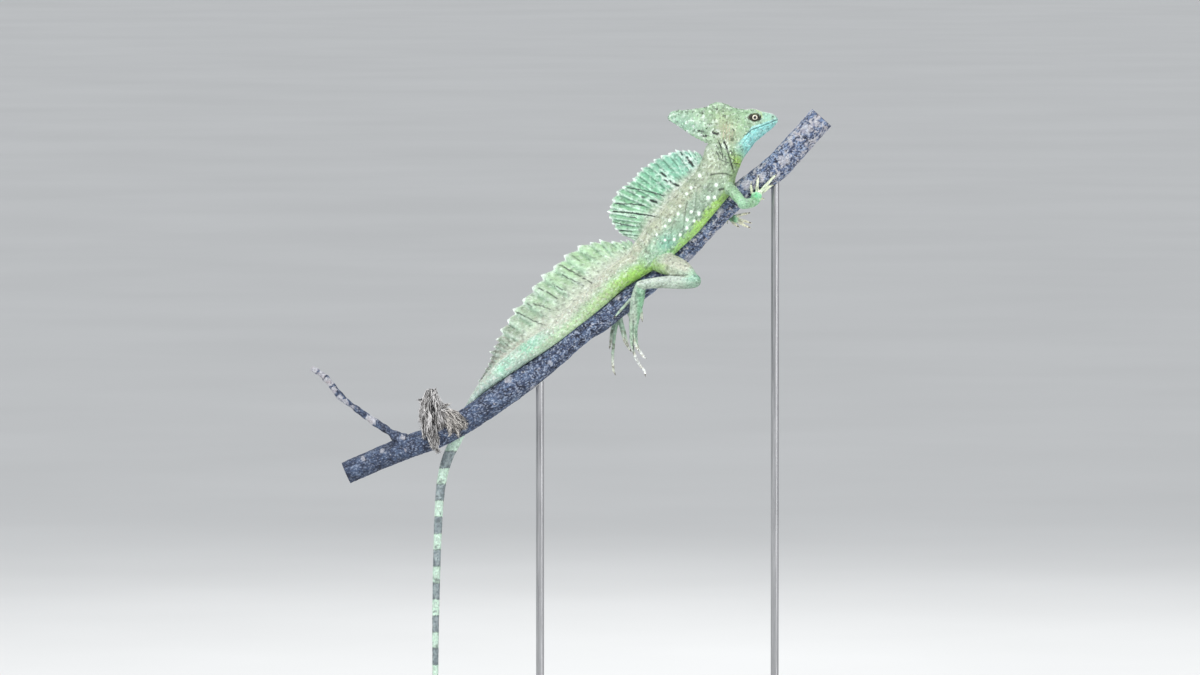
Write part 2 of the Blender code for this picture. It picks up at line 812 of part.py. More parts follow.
# Thin vanes with rays
def vane_columns(rays):
    """Columns along a vane and how far each is raised: it climbs along a ray and drops behind it."""
    columns = [(ray + share, raised) for ray in range(rays) for share, raised in RAY_COLUMNS]
    return [*columns, (rays, 0.0)]


def vane(name, keys, rays, thick, tooth, sway):
    """A fin of skin over rays: a grid from the back to the edge, alike on both faces."""
    columns = vane_columns(rays)
    near = []
    far = []
    for column, raised in columns:
        place, x, z = blend(keys, (len(keys) - 1) * column / rays)
        root = back_point(place, -FIN_SUNK)
        tip = np.array([x, root[1], z])
        length = np.linalg.norm(tip - root)
        notch = min(tooth, FIN_TOOTH_MOST * length) * (0.5 - raised)
        tip = tip - unit(tip - root) * notch
        for share in FIN_ROWS:
            bend = sway * math.sin(2 * math.pi * SWAY_WAVES * column / rays) * share * share
            point = root + (tip - root) * share + np.array([0.0, bend, 0.0])
            body = thick[0] + (thick[1] - thick[0]) * share
            body = body * (FIN_GROOVE + FIN_RIDGE * raised * (1 - FIN_RIDGE_FADE * share))
            near.append(point - np.array([0.0, body / 2, 0.0]))
            far.append(point + np.array([0.0, body / 2, 0.0]))
    return sheet(name, near, far, len(columns), len(FIN_ROWS))


def sheet(name, near, far, columns, rows):
    """Closes two like grids of points into one thin body, with the same triangles on both."""
    shift = len(near)
    faces = []
    for column in range(columns - 1):
        for row in range(rows - 1):
            a = column * rows + row
            b = a + rows
            faces.append((a, b, b + 1))
            faces.append((a, b + 1, a + 1))
            faces.append((a + shift, b + 1 + shift, b + shift))
            faces.append((a + shift, a + 1 + shift, b + 1 + shift))
    rim = [column * rows for column in range(columns)]
    rim += [(columns - 1) * rows + row for row in range(1, rows)]
    rim += [column * rows + rows - 1 for column in range(columns - 2, -1, -1)]
    rim += [row for row in range(rows - 2, 0, -1)]
    for index, point in enumerate(rim):
        after = rim[(index + 1) % len(rim)]
        faces.append((point, after, after + shift))
        faces.append((point, after + shift, point + shift))
    return make(name, near + far, faces)


def head_crest(name):
    """The casque behind the brow: thick where it leaves the skull, thin along its edge."""
    near = []
    far = []
    count = int((len(HEAD_CREST) - 1) * CASQUE_STEPS) + 1
    for column in range(count):
        x, z, root_x, root_z = blend(HEAD_CREST, column / CASQUE_STEPS)
        for share, thick in zip(CASQUE_ROWS, CASQUE_THICKS):
            point = np.array([root_x + (x - root_x) * share, MIDDLE_Y, root_z + (z - root_z) * share])
            near.append(point - np.array([0.0, thick / 2, 0.0]))
            far.append(point + np.array([0.0, thick / 2, 0.0]))
    return sheet(name, near, far, count, len(CASQUE_ROWS))


# The head's own forms
def ball(name, centre, radii, segments=14, rings=8):
    work = bmesh.new()
    bmesh.ops.create_uvsphere(work, u_segments=segments, v_segments=rings, radius=1.0)
    for point in work.verts:
        x, y, z = point.co
        point.co = (x * radii[0], z * radii[1], y * radii[2])
    points = [np.array(point.co) + np.array(centre) for point in work.verts]
    faces = [tuple(point.index for point in face.verts) for face in work.faces]
    work.free()
    return make(name, points, faces)


def plug(name, centre_x, centre_z, radii, inner_y, outer_y, sides=14):
    """An upright-edged oval bar along Y, for cutting."""
    rings = []
    for y in (inner_y, outer_y):
        ring = []
        for step in range(sides):
            angle = 2 * math.pi * step / sides
            ring.append((centre_x + radii[0] * math.cos(angle), y, centre_z + radii[1] * math.sin(angle)))
        rings.append(np.array(ring))
    return through_rings(name, rings)


def half_ring(place, sides, side, grow=0.0):
    """One side's points of a section, without those in the middle of the back and of the belly."""
    ring = flesh_ring(place, sides, grow)
    return ring[1 : sides // 2] if side < 0 else ring[sides // 2 + 1 :]


def head_side(x, z, side):
    """How far out the head reaches at a point of the view: side is -1 for the right, 1 for the left."""
    best = None
    for place in np.arange(0.0, HEAD_END, 0.1):
        for point in half_ring(place, SIDE_RING_SIDES, side):
            distance = math.hypot(point[0] - x, point[2] - z)
            if best is None or distance < best[0]:
                best = (distance, point[1])
    return best[1]


def mouth_path(lift, out):
    """Points on the skin along the mouth from the right corner round the snout to the left one."""
    line = [blend(MOUTH, place) for place in np.linspace(0, len(MOUTH) - 1, MOUTH_LINE_POINTS)]
    right = []
    for place in MOUTH_STATIONS:
        ring = half_ring(place, MOUTH_RING_SIDES, -1, out)
        gaps = []
        for x, y, z in ring:
            gaps.append(min(math.hypot(x - spot[0], z - spot[1] - lift) for spot in line))
        right.append(ring[int(np.argmin(gaps))])
    left = [np.array([point[0], 2 * MIDDLE_Y - point[1], point[2]]) for point in right[::-1]]
    tip = np.array([SNOUT_X + out, MIDDLE_Y, SNOUT_Z + lift * SNOUT_LIFT])
    return [*right, tip, *left]


def ribbon(name, path, radius, sides=5):
    """A thin tube along a nearly level path."""
    rings = []
    for place, point in enumerate(path):
        ahead = unit(blend(path, place + 0.3) - blend(path, place - 0.3))
        out = unit(np.cross(ahead, np.array([0.0, 0.0, 1.0])))
        up = np.cross(out, ahead)
        turns = [2 * math.pi * step / sides for step in range(sides)]
        ways = [out * math.cos(turn) + up * math.sin(turn) for turn in turns]
        rings.append(np.array([point + way * radius for way in ways]))
    return through_rings(name, rings)


def eye_centre(side):
    return (EYE_X, MIDDLE_Y + side * EYE_OUT, EYE_Z)


def head(name):
    item = flesh_piece(name, 0.0, HEAD_END, HEAD_SIDES)
    socket = EYE_RADIUS + GAP
    mound = [socket + shell for shell in MOUND_SHELL]
    added = [ribbon("lip", mouth_path(lift, -LIP_SUNK), LIP_RADIUS) for lift in LIP_LIFTS]
    added += [ball("mound", eye_centre(side), mound) for side in (-1, 1)]
    combine(item, "UNION", added)
    cuts = [ribbon("mouth", mouth_path(0.0, MOUTH_OUT), MOUTH_RADIUS)]
    for side in (-1, 1):
        eye_y = eye_centre(side)[1]
        cuts.append(ball("socket", eye_centre(side), (socket, socket, socket)))
        cuts.append(plug("opening", EYE_X, EYE_Z, EYE_OPENING, eye_y, eye_y + side * CUT_REACH))
        nostril_y = head_side(*NOSTRIL, side)
        nostril = (NOSTRIL[0], nostril_y, NOSTRIL[1])
        cuts.append(ball("nostril", nostril, NOSTRIL_RADII, segments=10, rings=6))
        ear_y = head_side(*EAR, side)
        cuts.append(plug("ear", *EAR, EAR_SIZE, ear_y - side * EAR_DEPTH, ear_y + side * CUT_REACH))
    combine(item, "DIFFERENCE", cuts)
    return item


# Perch and stand
def tuft(name):
    """A ragged clump of dry fibres caught on the branch beside the tail."""
    core = limb(name, TUFT_CREST, sides=TUFT_SIDES)
    parts = [limb("lobe", TUFT_LOW, sides=TUFT_SIDES), limb("apron", TUFT_APRON, sides=TUFT_SIDES)]
    for x, start, end, drift in STRANDS:
        drifts = (0.0, 0.3 * drift, drift)
        heights = (start, (start + end) / 2, end)
        places = zip(drifts, STRAND_DEPTHS, heights, STRAND_RADII)
        rows = [(x + aside, y, z, radius) for aside, y, z, radius in places]
        parts.append(limb("strand", rows, sides=STRAND_SIDES, steps=1))
    for x, z, way, length in TIPS:
        out = np.array([math.cos(math.radians(way)), 0.0, math.sin(math.radians(way))])
        root = np.array([x, TIP_Y, z])
        rows = [(*(root + out * length * share), radius) for share, radius in zip(TIP_SHARES, TIP_RADII)]
        parts.append(limb("tip", rows, sides=STRAND_SIDES, steps=1))
    combine(core, "UNION", parts)
    return core


def round_off(work, edges, width, steps):
    bmesh.ops.bevel(work, geom=edges, offset=width * MM, segments=steps, affect="EDGES", profile=0.5)


def base(name):
    work = bmesh.new()
    bmesh.ops.create_cube(work, size=1.0)
    length = BASE_RIGHT - BASE_LEFT
    for point in work.verts:
        point.co.x = (point.co.x * length + (BASE_LEFT + BASE_RIGHT) / 2) * MM
        point.co.y = point.co.y * BASE_DEPTH * MM
        point.co.z = (point.co.z + 0.5) * BASE_HEIGHT * MM
    upright = [edge for edge in work.edges if abs(edge.verts[0].co.z - edge.verts[1].co.z) > MM]
    round_off(work, upright, BASE_CORNER, BASE_CORNER_STEPS)
    level = (BASE_HEIGHT - TOUCH) * MM
    top = [edge for edge in work.edges if min(point.co.z for point in edge.verts) > level]
    round_off(work, top, BASE_BEVEL, BASE_BEVEL_STEPS)
    mesh = bpy.data.meshes.new(name)
    work.to_mesh(mesh)
    work.free()
    item = bpy.data.objects.new(name, mesh)
    bpy.context.scene.collection.objects.link(item)
    return item


def rod(name, x):
    """A round rod from just above the base, hollowed at the top to the branch."""
    axis = np.array([blend(BRANCH, place)[:2] for place in np.arange(0.0, len(BRANCH) - 1, 0.02)])
    top = float(axis[int(np.argmin(abs(axis[:, 0] - x))), 1])
    rows = [(x, 0.0, BASE_HEIGHT + GAP, ROD_RADIUS), (x, 0.0, top, ROD_RADIUS)]
    item = through_rings(name, [np.array(tube_ring(rows, place, ROD_SIDES)) for place in (0, 1)])
    combine(item, "DIFFERENCE", [branch("clear", GAP)])
    return item


def clear_of(item, *cutters):
    for cutter in cutters:
        combine(item, "DIFFERENCE", [cutter])
    return item


def grown_flesh():
    return flesh("clear", 0.0, TAIL_TIP, grow=GAP)


def build():
    for item in list(bpy.data.objects):
        bpy.data.objects.remove(item)
    looks = {name: material(name, *look) for name, look in MATERIALS.items()}
    skin, fin, bark = looks["skin"], looks["fin"], looks["bark"]

    finish(head("head"), skin)
    for side, name in ((-1, "eye_right"), (1, "eye_left")):
        eye = ball(name, eye_centre(side), (EYE_RADIUS, EYE_RADIUS, EYE_RADIUS))
        finish(eye, looks["eye"], EYE_CREASE)
    finish(clear_of(head_crest("head_crest"), flesh("clear", 0.0, NECK_END, HEAD_SIDES, GAP)), skin)

    for name, start, end in (
        ("neck", HEAD_END, NECK_END),
        ("torso", NECK_END, TORSO_END),
        ("tail_base", TORSO_END, TAIL_BASE_END),
        ("tail_bend", TAIL_BASE_END, TAIL_BEND_END),
    ):
        finish(clear_of(flesh_piece(name, start, end), branch("clear", GAP)), skin)
    finish(flesh_piece("tail_upper", TAIL_BEND_END, TAIL_UPPER_END, TAIL_SIDES), skin)
    finish(flesh_piece("tail_lower", TAIL_UPPER_END, TAIL_TIP, TAIL_SIDES), skin)

    sail = vane("dorsal_sail", SAIL_KEYS, SAIL_RAYS, SAIL_THICK, SAIL_TOOTH, SAIL_SWAY)
    finish(clear_of(sail, grown_flesh()), fin, FIN_CREASE)
    crest_look = (TAIL_CREST_THICK, TAIL_CREST_TOOTH, TAIL_CREST_SWAY)
    crest = vane("tail_crest", TAIL_CREST_KEYS, TAIL_CREST_RAYS, *crest_look)
    finish(clear_of(crest, grown_flesh()), fin, FIN_CREASE)

    for (upper, upper_rows), (lower, lower_rows), (end, end_rows) in LIMBS:
        joint = limb("clear", lower_rows, GAP)
        finish(clear_of(limb(upper, upper_rows), grown_flesh(), branch("clear", GAP), joint), skin)
        finish(clear_of(limb(lower, lower_rows), grown_flesh(), branch("clear", GAP)), skin)
        joint = limb("clear", lower_rows, GAP)
        finish(clear_of(extremity(end, end_rows, *DIGITS[end]), joint, branch("clear", GAP)), skin)

    finish(branch("perch_branch"), bark)
    finish(clear_of(limb("perch_twig", TWIG, sides=TWIG_SIDES), branch("clear", GAP)), bark)
    finish(clear_of(tuft("perch_tuft"), branch("clear", GAP), grown_flesh()), looks["fibre"])
    finish(base("stand_base"), looks["plinth"])
    finish(rod("stand_rod_low", ROD_LOW_X), looks["steel"])
    finish(rod("stand_rod_high", ROD_HIGH_X), looks["steel"])


build()
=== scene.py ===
import math

import bmesh
import bpy
import numpy as np
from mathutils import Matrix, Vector
from mathutils.bvhtree import BVHTree
from mathutils.kdtree import KDTree


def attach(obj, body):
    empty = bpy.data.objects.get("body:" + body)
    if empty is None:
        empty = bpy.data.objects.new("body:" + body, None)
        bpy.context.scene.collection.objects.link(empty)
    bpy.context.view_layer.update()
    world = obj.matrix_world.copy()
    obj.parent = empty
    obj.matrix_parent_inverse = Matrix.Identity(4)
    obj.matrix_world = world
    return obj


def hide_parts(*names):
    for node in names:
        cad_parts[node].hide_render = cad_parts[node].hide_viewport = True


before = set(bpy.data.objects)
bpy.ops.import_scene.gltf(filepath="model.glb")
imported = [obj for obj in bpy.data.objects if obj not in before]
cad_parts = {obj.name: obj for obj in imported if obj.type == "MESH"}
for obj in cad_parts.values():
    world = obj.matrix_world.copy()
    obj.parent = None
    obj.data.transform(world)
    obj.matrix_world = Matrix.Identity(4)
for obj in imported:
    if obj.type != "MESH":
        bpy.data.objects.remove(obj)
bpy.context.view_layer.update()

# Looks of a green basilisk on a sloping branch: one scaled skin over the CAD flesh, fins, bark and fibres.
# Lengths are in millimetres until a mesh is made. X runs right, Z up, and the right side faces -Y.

MM = 0.001
FAR = 1e9
HEADING_STEP = 0.05
MIDDLE_Y = -4.0
EYE = (184.5, 715.3)
EYE_OUT = 7.0
EYE_RADIUS = 4.6

# The branch's axis from its lower cut end to its upper one: x, z and radius
BRANCH = [
    (-223.9, 358.2, 11.3),
    (-170.8, 381.5, 11.7),
    (-129.6, 397.1, 12.0),
    (-96, 417.4, 12.4),
    (-48.8, 449.8, 12.9),
    (-16.2, 475.0, 11.4),
    (10.9, 499.4, 11.8),
    (37.9, 518.3, 11.9),
    (94.2, 563.6, 11.8),
    (118.3, 587.2, 11.9),
    (144.4, 614.1, 11.5),
    (166.1, 635.1, 11.8),
    (198.5, 658.4, 13.3),
    (219.3, 679.2, 13.3),
    (251.4, 714.7, 12.8),
]

# The twig's axis: x, y, z and radius
TWIG = [
    (-166, -2, 389.5, 8.0),
    (-180.5, -3, 400.2, 4.5),
    (-198.4, -2, 412, 3.6),
    (-215, 0, 424, 3.1),
    (-229.4, 1, 435.4, 3.3),
    (-242.6, 0, 452, 3.5),
    (-251, -1, 459.3, 2.8),
    (-258.6, -1, 463.8, 2.3),
]

# Flesh from snout to hip and tail: the point on the back (x, z), the point on the belly (x, z),
# y of the middle, half width, and the share of the body's outline against the head's
FLAT_SECTIONS = [
    (207.3, 712.8, 207.3, 710.2, -4, 1.5, 0.0),
    (206, 715.8, 205.3, 707.4, -4, 4.5, 0.0),
    (202, 718.2, 199.5, 702, -4, 7.5, 0.0),
    (196, 719.8, 191.5, 695.5, -4, 9.5, 0.0),
    (190, 721.2, 185, 690, -4, 11.3, 0.0),
    (183, 723.4, 182.5, 686.5, -4, 12.6, 0.0),
    (175, 722.5, 178.5, 681, -4, 13.2, 0.0),
    (167, 720.5, 175, 676.5, -4, 13.0, 0.2),
    (159, 714.5, 172.5, 672.5, -4, 12.6, 0.4),
    (151, 705, 171, 669.5, -4.3, 12.2, 0.7),
    (143.5, 693.5, 169.8, 666, -4.6, 12.2, 1.0),
    (135.8, 686.2, 168.5, 662.5, -5, 12.8, 1.0),
    (133, 677.5, 166.5, 658, -5.3, 13.8, 1.0),
    (129.5, 668.5, 165, 651.5, -5.6, 15.2, 1.0),
    (125, 660, 163, 642, -6, 17.0, 1.0),
    (116, 651, 157, 633, -6, 18.0, 1.0),
    (106.5, 643, 148, 622.5, -6, 18.3, 1.0),
    (97, 631, 139, 611.5, -6, 18.0, 1.0),
    (88, 620, 129, 599.5, -6, 17.5, 1.0),
    (78, 608.5, 115.5, 586.5, -6, 16.8, 1.0),
    (70.5, 597.5, 98, 571.5, -6, 15.5, 1.0),
    (63.5, 589, 87, 563.5, -5.5, 14.3, 1.0),
    (59, 580, 76, 556.5, -5, 12.7, 1.0),
    (38.2, 565.3, 55.8, 544.7, -4.5, 11.5, 1.0),
    (21.2, 548.6, 38.8, 529.4, -4.5, 11.0, 1.0),
    (2.5, 529.8, 19.5, 512.2, -4, 10.5, 1.0),
    (-17.6, 509.8, -4.0, 493.6, -4, 9.2, 1.0),
    (-38.5, 495.7, -26.8, 479.2, -3.5, 8.6, 1.0),
    (-52.1, 486.4, -41.0, 470.3, -2.5, 8.2, 1.0),
]

# The tail where it rolls over the branch and hangs: middle, roll in degrees, half depth and width
ROLLED_SECTIONS = [
    (-69.6, 1, 461.3, 3, 8.7, 7.6),
    (-85, 7.2, 446, 26, 6.9, 6.9),
    (-91.5, 11, 437, 36, 6.6, 6.6),
    (-96.3, 15, 429, 50, 6.4, 6.4),
    (-100.8, 17.8, 420, 70, 6.3, 6.3),
    (-106, 19.2, 409, 90, 6.2, 6.2),
    (-113.5, 18.9, 391.5, 90, 6.1, 6.1),
    (-121, 18, 377, 90, 5.8, 5.8),
    (-126, 17.5, 362, 90, 5.4, 5.4),
    (-129.8, 17, 342, 90, 4.9, 4.9),
    (-132, 16.5, 312, 90, 4.4, 4.4),
    (-133.5, 16, 272, 90, 4.1, 4.1),
    (-134.5, 15.5, 232, 90, 3.8, 3.8),
    (-135, 14.6, 194, 90, 3.5, 3.5),
    (-135.2, 14, 157, 90, 3.2, 3.2),
    (-135.5, 13.4, 122, 90, 2.7, 2.7),
    (-135.7, 12.9, 88, 90, 2.1, 2.1),
    (-135.9, 12.4, 54, 90, 1.5, 1.5),
    (-136, 12, 20, 90, 0.5, 0.5),
]
BRANCH_NORMAL = np.array([-0.543, 0.0, 0.840])
FLESH_END = float(len(FLAT_SECTIONS) + len(ROLLED_SECTIONS) - 1)

# Half outlines of a cross section, from the back to the belly: sideways and upward shares
HEAD_OUTLINE = [
    (0, 1),
    (0.34, 0.98),
    (0.64, 0.86),
    (0.80, 0.50),
    (0.96, 0.08),
    (0.98, -0.30),
    (0.66, -0.72),
    (0.30, -0.94),
    (0, -1),
]
BODY_OUTLINE = [
    (0, 1),
    (0.24, 0.95),
    (0.52, 0.78),
    (0.82, 0.42),
    (0.99, -0.06),
    (0.95, -0.46),
    (0.70, -0.80),
    (0.36, -0.96),
    (0, -1),
]

# The fins: the place of each key ray along the flesh, and the ray's tip (x, z)
SAIL_RAYS = 23
SAIL_KEYS = [
    (12.5, 129.7, 679),
    (13.5, 118, 681.3),
    (14.3, 106.5, 681),
    (15.05, 92, 676),
    (15.9, 79, 668.3),
    (16.6, 68.5, 659.5),
    (17.15, 60.6, 650),
    (17.8, 49.5, 642.5),
    (18.3, 41.5, 628.5),
    (18.75, 39, 618),
    (19.25, 44.5, 606.5),
    (20.0, 51, 598.5),
    (20.7, 60.5, 594.5),
]
TAIL_CREST_RAYS = 22
TAIL_CREST_KEYS = [
    (21.2, 60.5, 592),
    (21.8, 52, 590.5),
    (22.5, 33, 590.5),
    (23.0, 13, 587),
    (24.0, -10.5, 570),
    (25.0, -30, 551.5),
    (26.0, -48, 529.5),
    (27.0, -62, 511.5),
    (28.0, -71.5, 493),
    (28.5, -77, 481),
    (29.0, -80, 470),
    (29.5, -85, 460),
    (30.0, -91.5, 449.5),
]

# Fingers and toes: x and z, then the depth, or None where they lie on the branch
FINGERS_RIGHT = [
    [(184, 636.5, -12.9), (181.4, 640.5, None), (180.7, 646, None), (180.9, 650.6, None)],
    [(187, 638.6, -12.9), (186.8, 645, None), (187.2, 652, None), (188.5, 658, None)],
    [(188.5, 639, -12.9), (193.5, 645.5, None), (198.5, 650.5, None), (203.3, 656, None), (207, 658.4, None)],
    [(188.5, 638, -12.9), (194.5, 642, None), (199.5, 646.3, None), (203.8, 648, None)],
    [(186, 636.5, -12.9), (190.5, 634.0, -10.5), (194.7, 633.8, -9.5)],
]
FINGERS_LEFT = [
    [(162, 614.5, 7), (168, 616.5, 3.5), (175, 618.3, 1.5), (181, 619.2, 0.5)],
    [(163, 613.8, 7), (170, 612, 4.5), (176, 610.5, 3), (181.7, 608.7, 2.5)],
    [(163, 613, 7), (169, 609.3, 6), (175, 606.3, 5), (181, 603.6, 4.5)],
    [(161, 612, 8.5), (164, 608, 8), (169.5, 604.2, 7.5)],
    [(159, 616.5, 12.4), (157, 612, 13.4), (157.5, 607.5, 13.4)],
]
TOES_RIGHT = [
    [
        (61.8, 504, -18),
        (61, 496, -17.5),
        (61.7, 488.4, -17),
        (63.5, 482, -16.5),
        (65.5, 475, -16),
        (69.6, 468, -16),
        (74.6, 462, -16.5),
        (75.6, 456, -17),
    ],
    [
        (65.3, 504, -17),
        (65.8, 496, -15.8),
        (66.4, 488, -14.8),
        (70, 481, -14),
        (73.6, 476, -14.5),
        (76.4, 474.3, -15),
    ],
    [(63.5, 505, -20.5), (63.8, 497, -21), (64.8, 490.5, -20.5), (67, 485, -20), (69.3, 481, -20)],
    [(69.2, 528, -19), (71.2, 521, -17.5), (72, 515.5, -17), (72.3, 511, -17.5)],
    [(67.5, 537, -19.5), (60, 533, None), (55, 527.5, None), (49.5, 521.5, None), (43.8, 514.5, None)],
]
TOES_LEFT = [
    [
        (48, 514, 18),
        (46.5, 507, 17.5),
        (44.8, 498, 17),
        (43.6, 488, 16.5),
        (42.8, 478, 16.3),
        (42.8, 467, 16.3),
        (43.6, 460, 16.7),
        (45.6, 455.5, 17.2),
    ],
    [(50, 515, 18.5), (52, 507, 18.3), (54.2, 500, 17.7), (56, 492, 17), (58, 484, 17), (61.5, 479, 17.5)],
    [(49.5, 514, 16.2), (50.5, 506, 14.8), (52.5, 498, 14), (54.5, 490, 14), (56.3, 485, 14.5)],
    [(47, 516, 21), (43.6, 506, 21.3), (41.4, 497, 20.8), (40.6, 488.5, 20.4), (39.4, 481.5, 20.6)],
    [(53.5, 528, 18), (57, 521, 18), (60, 514, 18.5), (62, 508, 19)],
]
DIGITS = {
    "hand_right": (FINGERS_RIGHT, 2.0),
    "hand_left": (FINGERS_LEFT, 2.0),
    "foot_right": (TOES_RIGHT, 2.1),
    "foot_left": (TOES_LEFT, 2.1),
}

# The parts of the flesh, and the next part outward on each limb
FLESH_NODES = ["head", "head_crest", "neck", "torso", "tail_base", "tail_bend", "tail_upper", "tail_lower"]
LIMB_CHAINS = [
    ["thigh_right", "shank_right", "foot_right"],
    ["thigh_left", "shank_left", "foot_left"],
    ["upper_arm_right", "forearm_right", "hand_right"],
    ["upper_arm_left", "forearm_left", "hand_left"],
]
SKIN_NODES = FLESH_NODES + [name for chain in LIMB_CHAINS for name in chain]
PART = {name: index for index, name in enumerate(SKIN_NODES)}

# How the skin is made from the flesh nodes
SWELL = 0.3
VOXEL = 0.6
INSET = 0.2
SMOOTH_ROUNDS = 36
STRENGTH_ROUNDS = 30
EVENING_ROUNDS = 2
EVENING = 0.2
INWARD_SHARE = 0.8
SMOOTHING = {
    "head": 0.10,
    "head_crest": 0.10,
    "hand": 0.05,
    "foot": 0.06,
    "tail_lower": 0.25,
    "tail_upper": 0.3,
}
SMOOTHING_ELSEWHERE = 0.5
THIN_NODES = ["head_crest", "hand_right", "hand_left", "foot_right", "foot_left"]
SUNK_MOST = 3.5
BROUGHT_SHARE = 0.8
FINE_ABOVE = 664.0
FINE_RIGHT_OF = 96.0

# Lines of the head and the folds of the body: points (x, z), half width, depth, and the darkness of the
# painted shade along each fold
MOUTH = [(176.0, 698.0), (181, 703), (189.5, 706), (198.6, 709.6), (205.5, 712.2), (209, 712.5)]
FOLDS = [
    ([(153, 693), (156, 686), (159, 676.5), (162.5, 664)], 0.8, 0.7, 0.7),
    ([(148, 692), (151, 684), (152.5, 675)], 0.6, 0.4, 0.45),
    ([(163, 684), (164.5, 676), (163, 670), (159, 667)], 0.6, 0.4, 0.3),
    ([(140, 658), (147, 659.5), (155, 659.5), (161, 657)], 0.7, 0.7, 0.5),
    ([(149, 643.5), (154.6, 644.4), (158.5, 643)], 0.9, 0.8, 0.8),
    ([(116.5, 632), (114.5, 618), (113, 601)], 0.6, 0.35, 0.3),
    ([(127, 646), (125.5, 633), (124, 618)], 0.6, 0.3, 0.2),
    ([(105, 619), (102, 606), (100.5, 594)], 0.6, 0.3, 0.2),
    ([(137, 668), (136.5, 655), (135, 645)], 0.5, 0.2, 0.15),
]
NOSTRIL = (202.3, 715.7)

# Marks on the right side, mirrored to the left with a small shift: x, z and half size
FLANK_SPOTS = [
    (146, 648.4, 1.5),
    (121, 645.3, 1.2),
    (116.5, 639.2, 1.1),
    (129.5, 657.2, 1.3),
    (138, 635.4, 1.5),
    (144, 636, 1.3),
    (110, 627, 1.0),
    (128.7, 620, 1.5),
    (121, 621.6, 1.2),
    (108, 619.3, 1.1),
    (99.6, 613, 1.1),
    (117, 613.6, 1.2),
    (124, 612.4, 1.1),
    (95, 607, 1.0),
    (116.5, 605.5, 1.3),
    (110, 598.6, 1.2),
    (86.6, 598.6, 0.9),
    (104, 594, 1.2),
    (95, 593.3, 1.0),
]

# Dark strokes: points (x, z), half width and strength
HEAD_STROKES = [
    ([(142.6, 700.1), (147.6, 698.6)], 1.1, 0.95),
    ([(133.0, 696.8), (138, 696.2)], 0.7, 0.7),
    ([(121.5, 702.4), (125.5, 701.6)], 0.6, 0.7),
    ([(127.5, 702.0), (131, 701.2)], 0.7, 0.8),
    ([(132.6, 700.6), (135.4, 700.0)], 0.6, 0.7),
    ([(136.6, 704.4), (139.0, 704.8)], 0.6, 0.6),
    ([(144.6, 724.0), (147.4, 722.8)], 0.8, 0.5),
    ([(153.6, 716.9), (155.6, 716.4)], 0.9, 0.5),
    ([(131.0, 720.4), (132.6, 719.2)], 0.5, 0.6),
    ([(162.4, 703.4), (163.8, 702.0)], 0.7, 0.55),
    ([(149.5, 689.6), (151.6, 684.4)], 0.7, 0.85),
    ([(154.2, 690.5), (156.8, 684.6)], 0.8, 0.9),
    ([(146.0, 681.6), (148.4, 676.8)], 0.6, 0.7),
    ([(154.6, 676.6), (156.0, 671.4)], 0.6, 0.7),
    ([(160.8, 682.0), (162.4, 677.6)], 0.6, 0.7),
    ([(151.2, 672.4), (158.6, 670.2)], 0.5, 0.6),
    ([(161.0, 674.0), (166.8, 671.6)], 0.45, 0.75),
    ([(163.2, 669.4), (169.2, 668.6)], 0.45, 0.75),
    ([(164.6, 678.4), (170.2, 677.0)], 0.45, 0.6),
    ([(146.2, 687.4), (150.4, 679.0)], 0.45, 0.55),
]
SAIL_STROKES = [
    ([(57, 645), (75, 642), (93, 637)], 0.55, 0.8),
    ([(45, 629), (60, 628.5), (74, 627)], 0.6, 0.85),
    ([(43, 621), (62, 619.6), (86, 616)], 0.7, 0.95),
    ([(60, 615.6), (66, 614.6)], 0.5, 0.8),
    ([(45, 610), (53, 608), (61, 607)], 0.5, 0.8),
    ([(49, 602), (62, 601)], 0.5, 0.75),
    ([(52, 653), (66, 648)], 0.4, 0.45),
    ([(110.6, 679.6), (112.0, 677.6)], 0.8, 0.9),
    ([(116.8, 675.0), (118.4, 672.0)], 1.1, 0.95),
    ([(119.8, 670.4), (122.0, 667.4)], 1.6, 0.9),
    ([(90.8, 660.0), (95.8, 656.2)], 1.1, 0.95),
    ([(94.6, 652.2), (97.4, 651.0)], 1.0, 0.95),
    ([(99.8, 651.6), (102.0, 649.6)], 1.1, 0.9),
    ([(104.2, 648.6), (108.0, 646.8)], 1.1, 0.9),
    ([(80.6, 632.0), (86.2, 630.4)], 1.2, 0.95),
    ([(72.0, 636.0), (73.6, 634.8)], 1.1, 0.55),
]
TAIL_STROKES = [
    ([(-11, 568), (6, 559), (23, 548)], 0.55, 0.85),
    ([(-8, 558), (4, 551.5), (14, 546)], 0.45, 0.7),
    ([(-17, 548), (-8, 542)], 0.5, 0.75),
    ([(-31, 544), (-22, 540), (-13, 534)], 0.5, 0.8),
    ([(-53, 520), (-40, 513), (-25, 507)], 0.5, 0.8),
    ([(-37, 529), (-28, 526), (-19, 523)], 0.45, 0.65),
    ([(-45, 531), (-38, 526)], 0.4, 0.5),
    ([(-62, 508), (-55, 503)], 0.4, 0.45),
    ([(-70, 494), (-64, 489)], 0.4, 0.4),
    ([(2, 577), (10, 571)], 0.4, 0.4),
]
STROKE_WAVE = 0.3
BROW_EDGE = [(186.8, 721.6), (190.6, 719.8), (191.8, 716.0)]
LEFT_SHIFT = (2.5, -3.0)

# Bands on the hanging tail: height of the first mint band's middle, distance between bands
BAND_FIRST = 387.75
BAND_STEP = 33.0

# Places where fine marks gather: middle (x, z) and reach along x and z
TEMPLE = (157, 699, 8, 11)
NECK_SIDE = (155, 681, 11, 13)
GROIN = (82, 569, 6, 9)

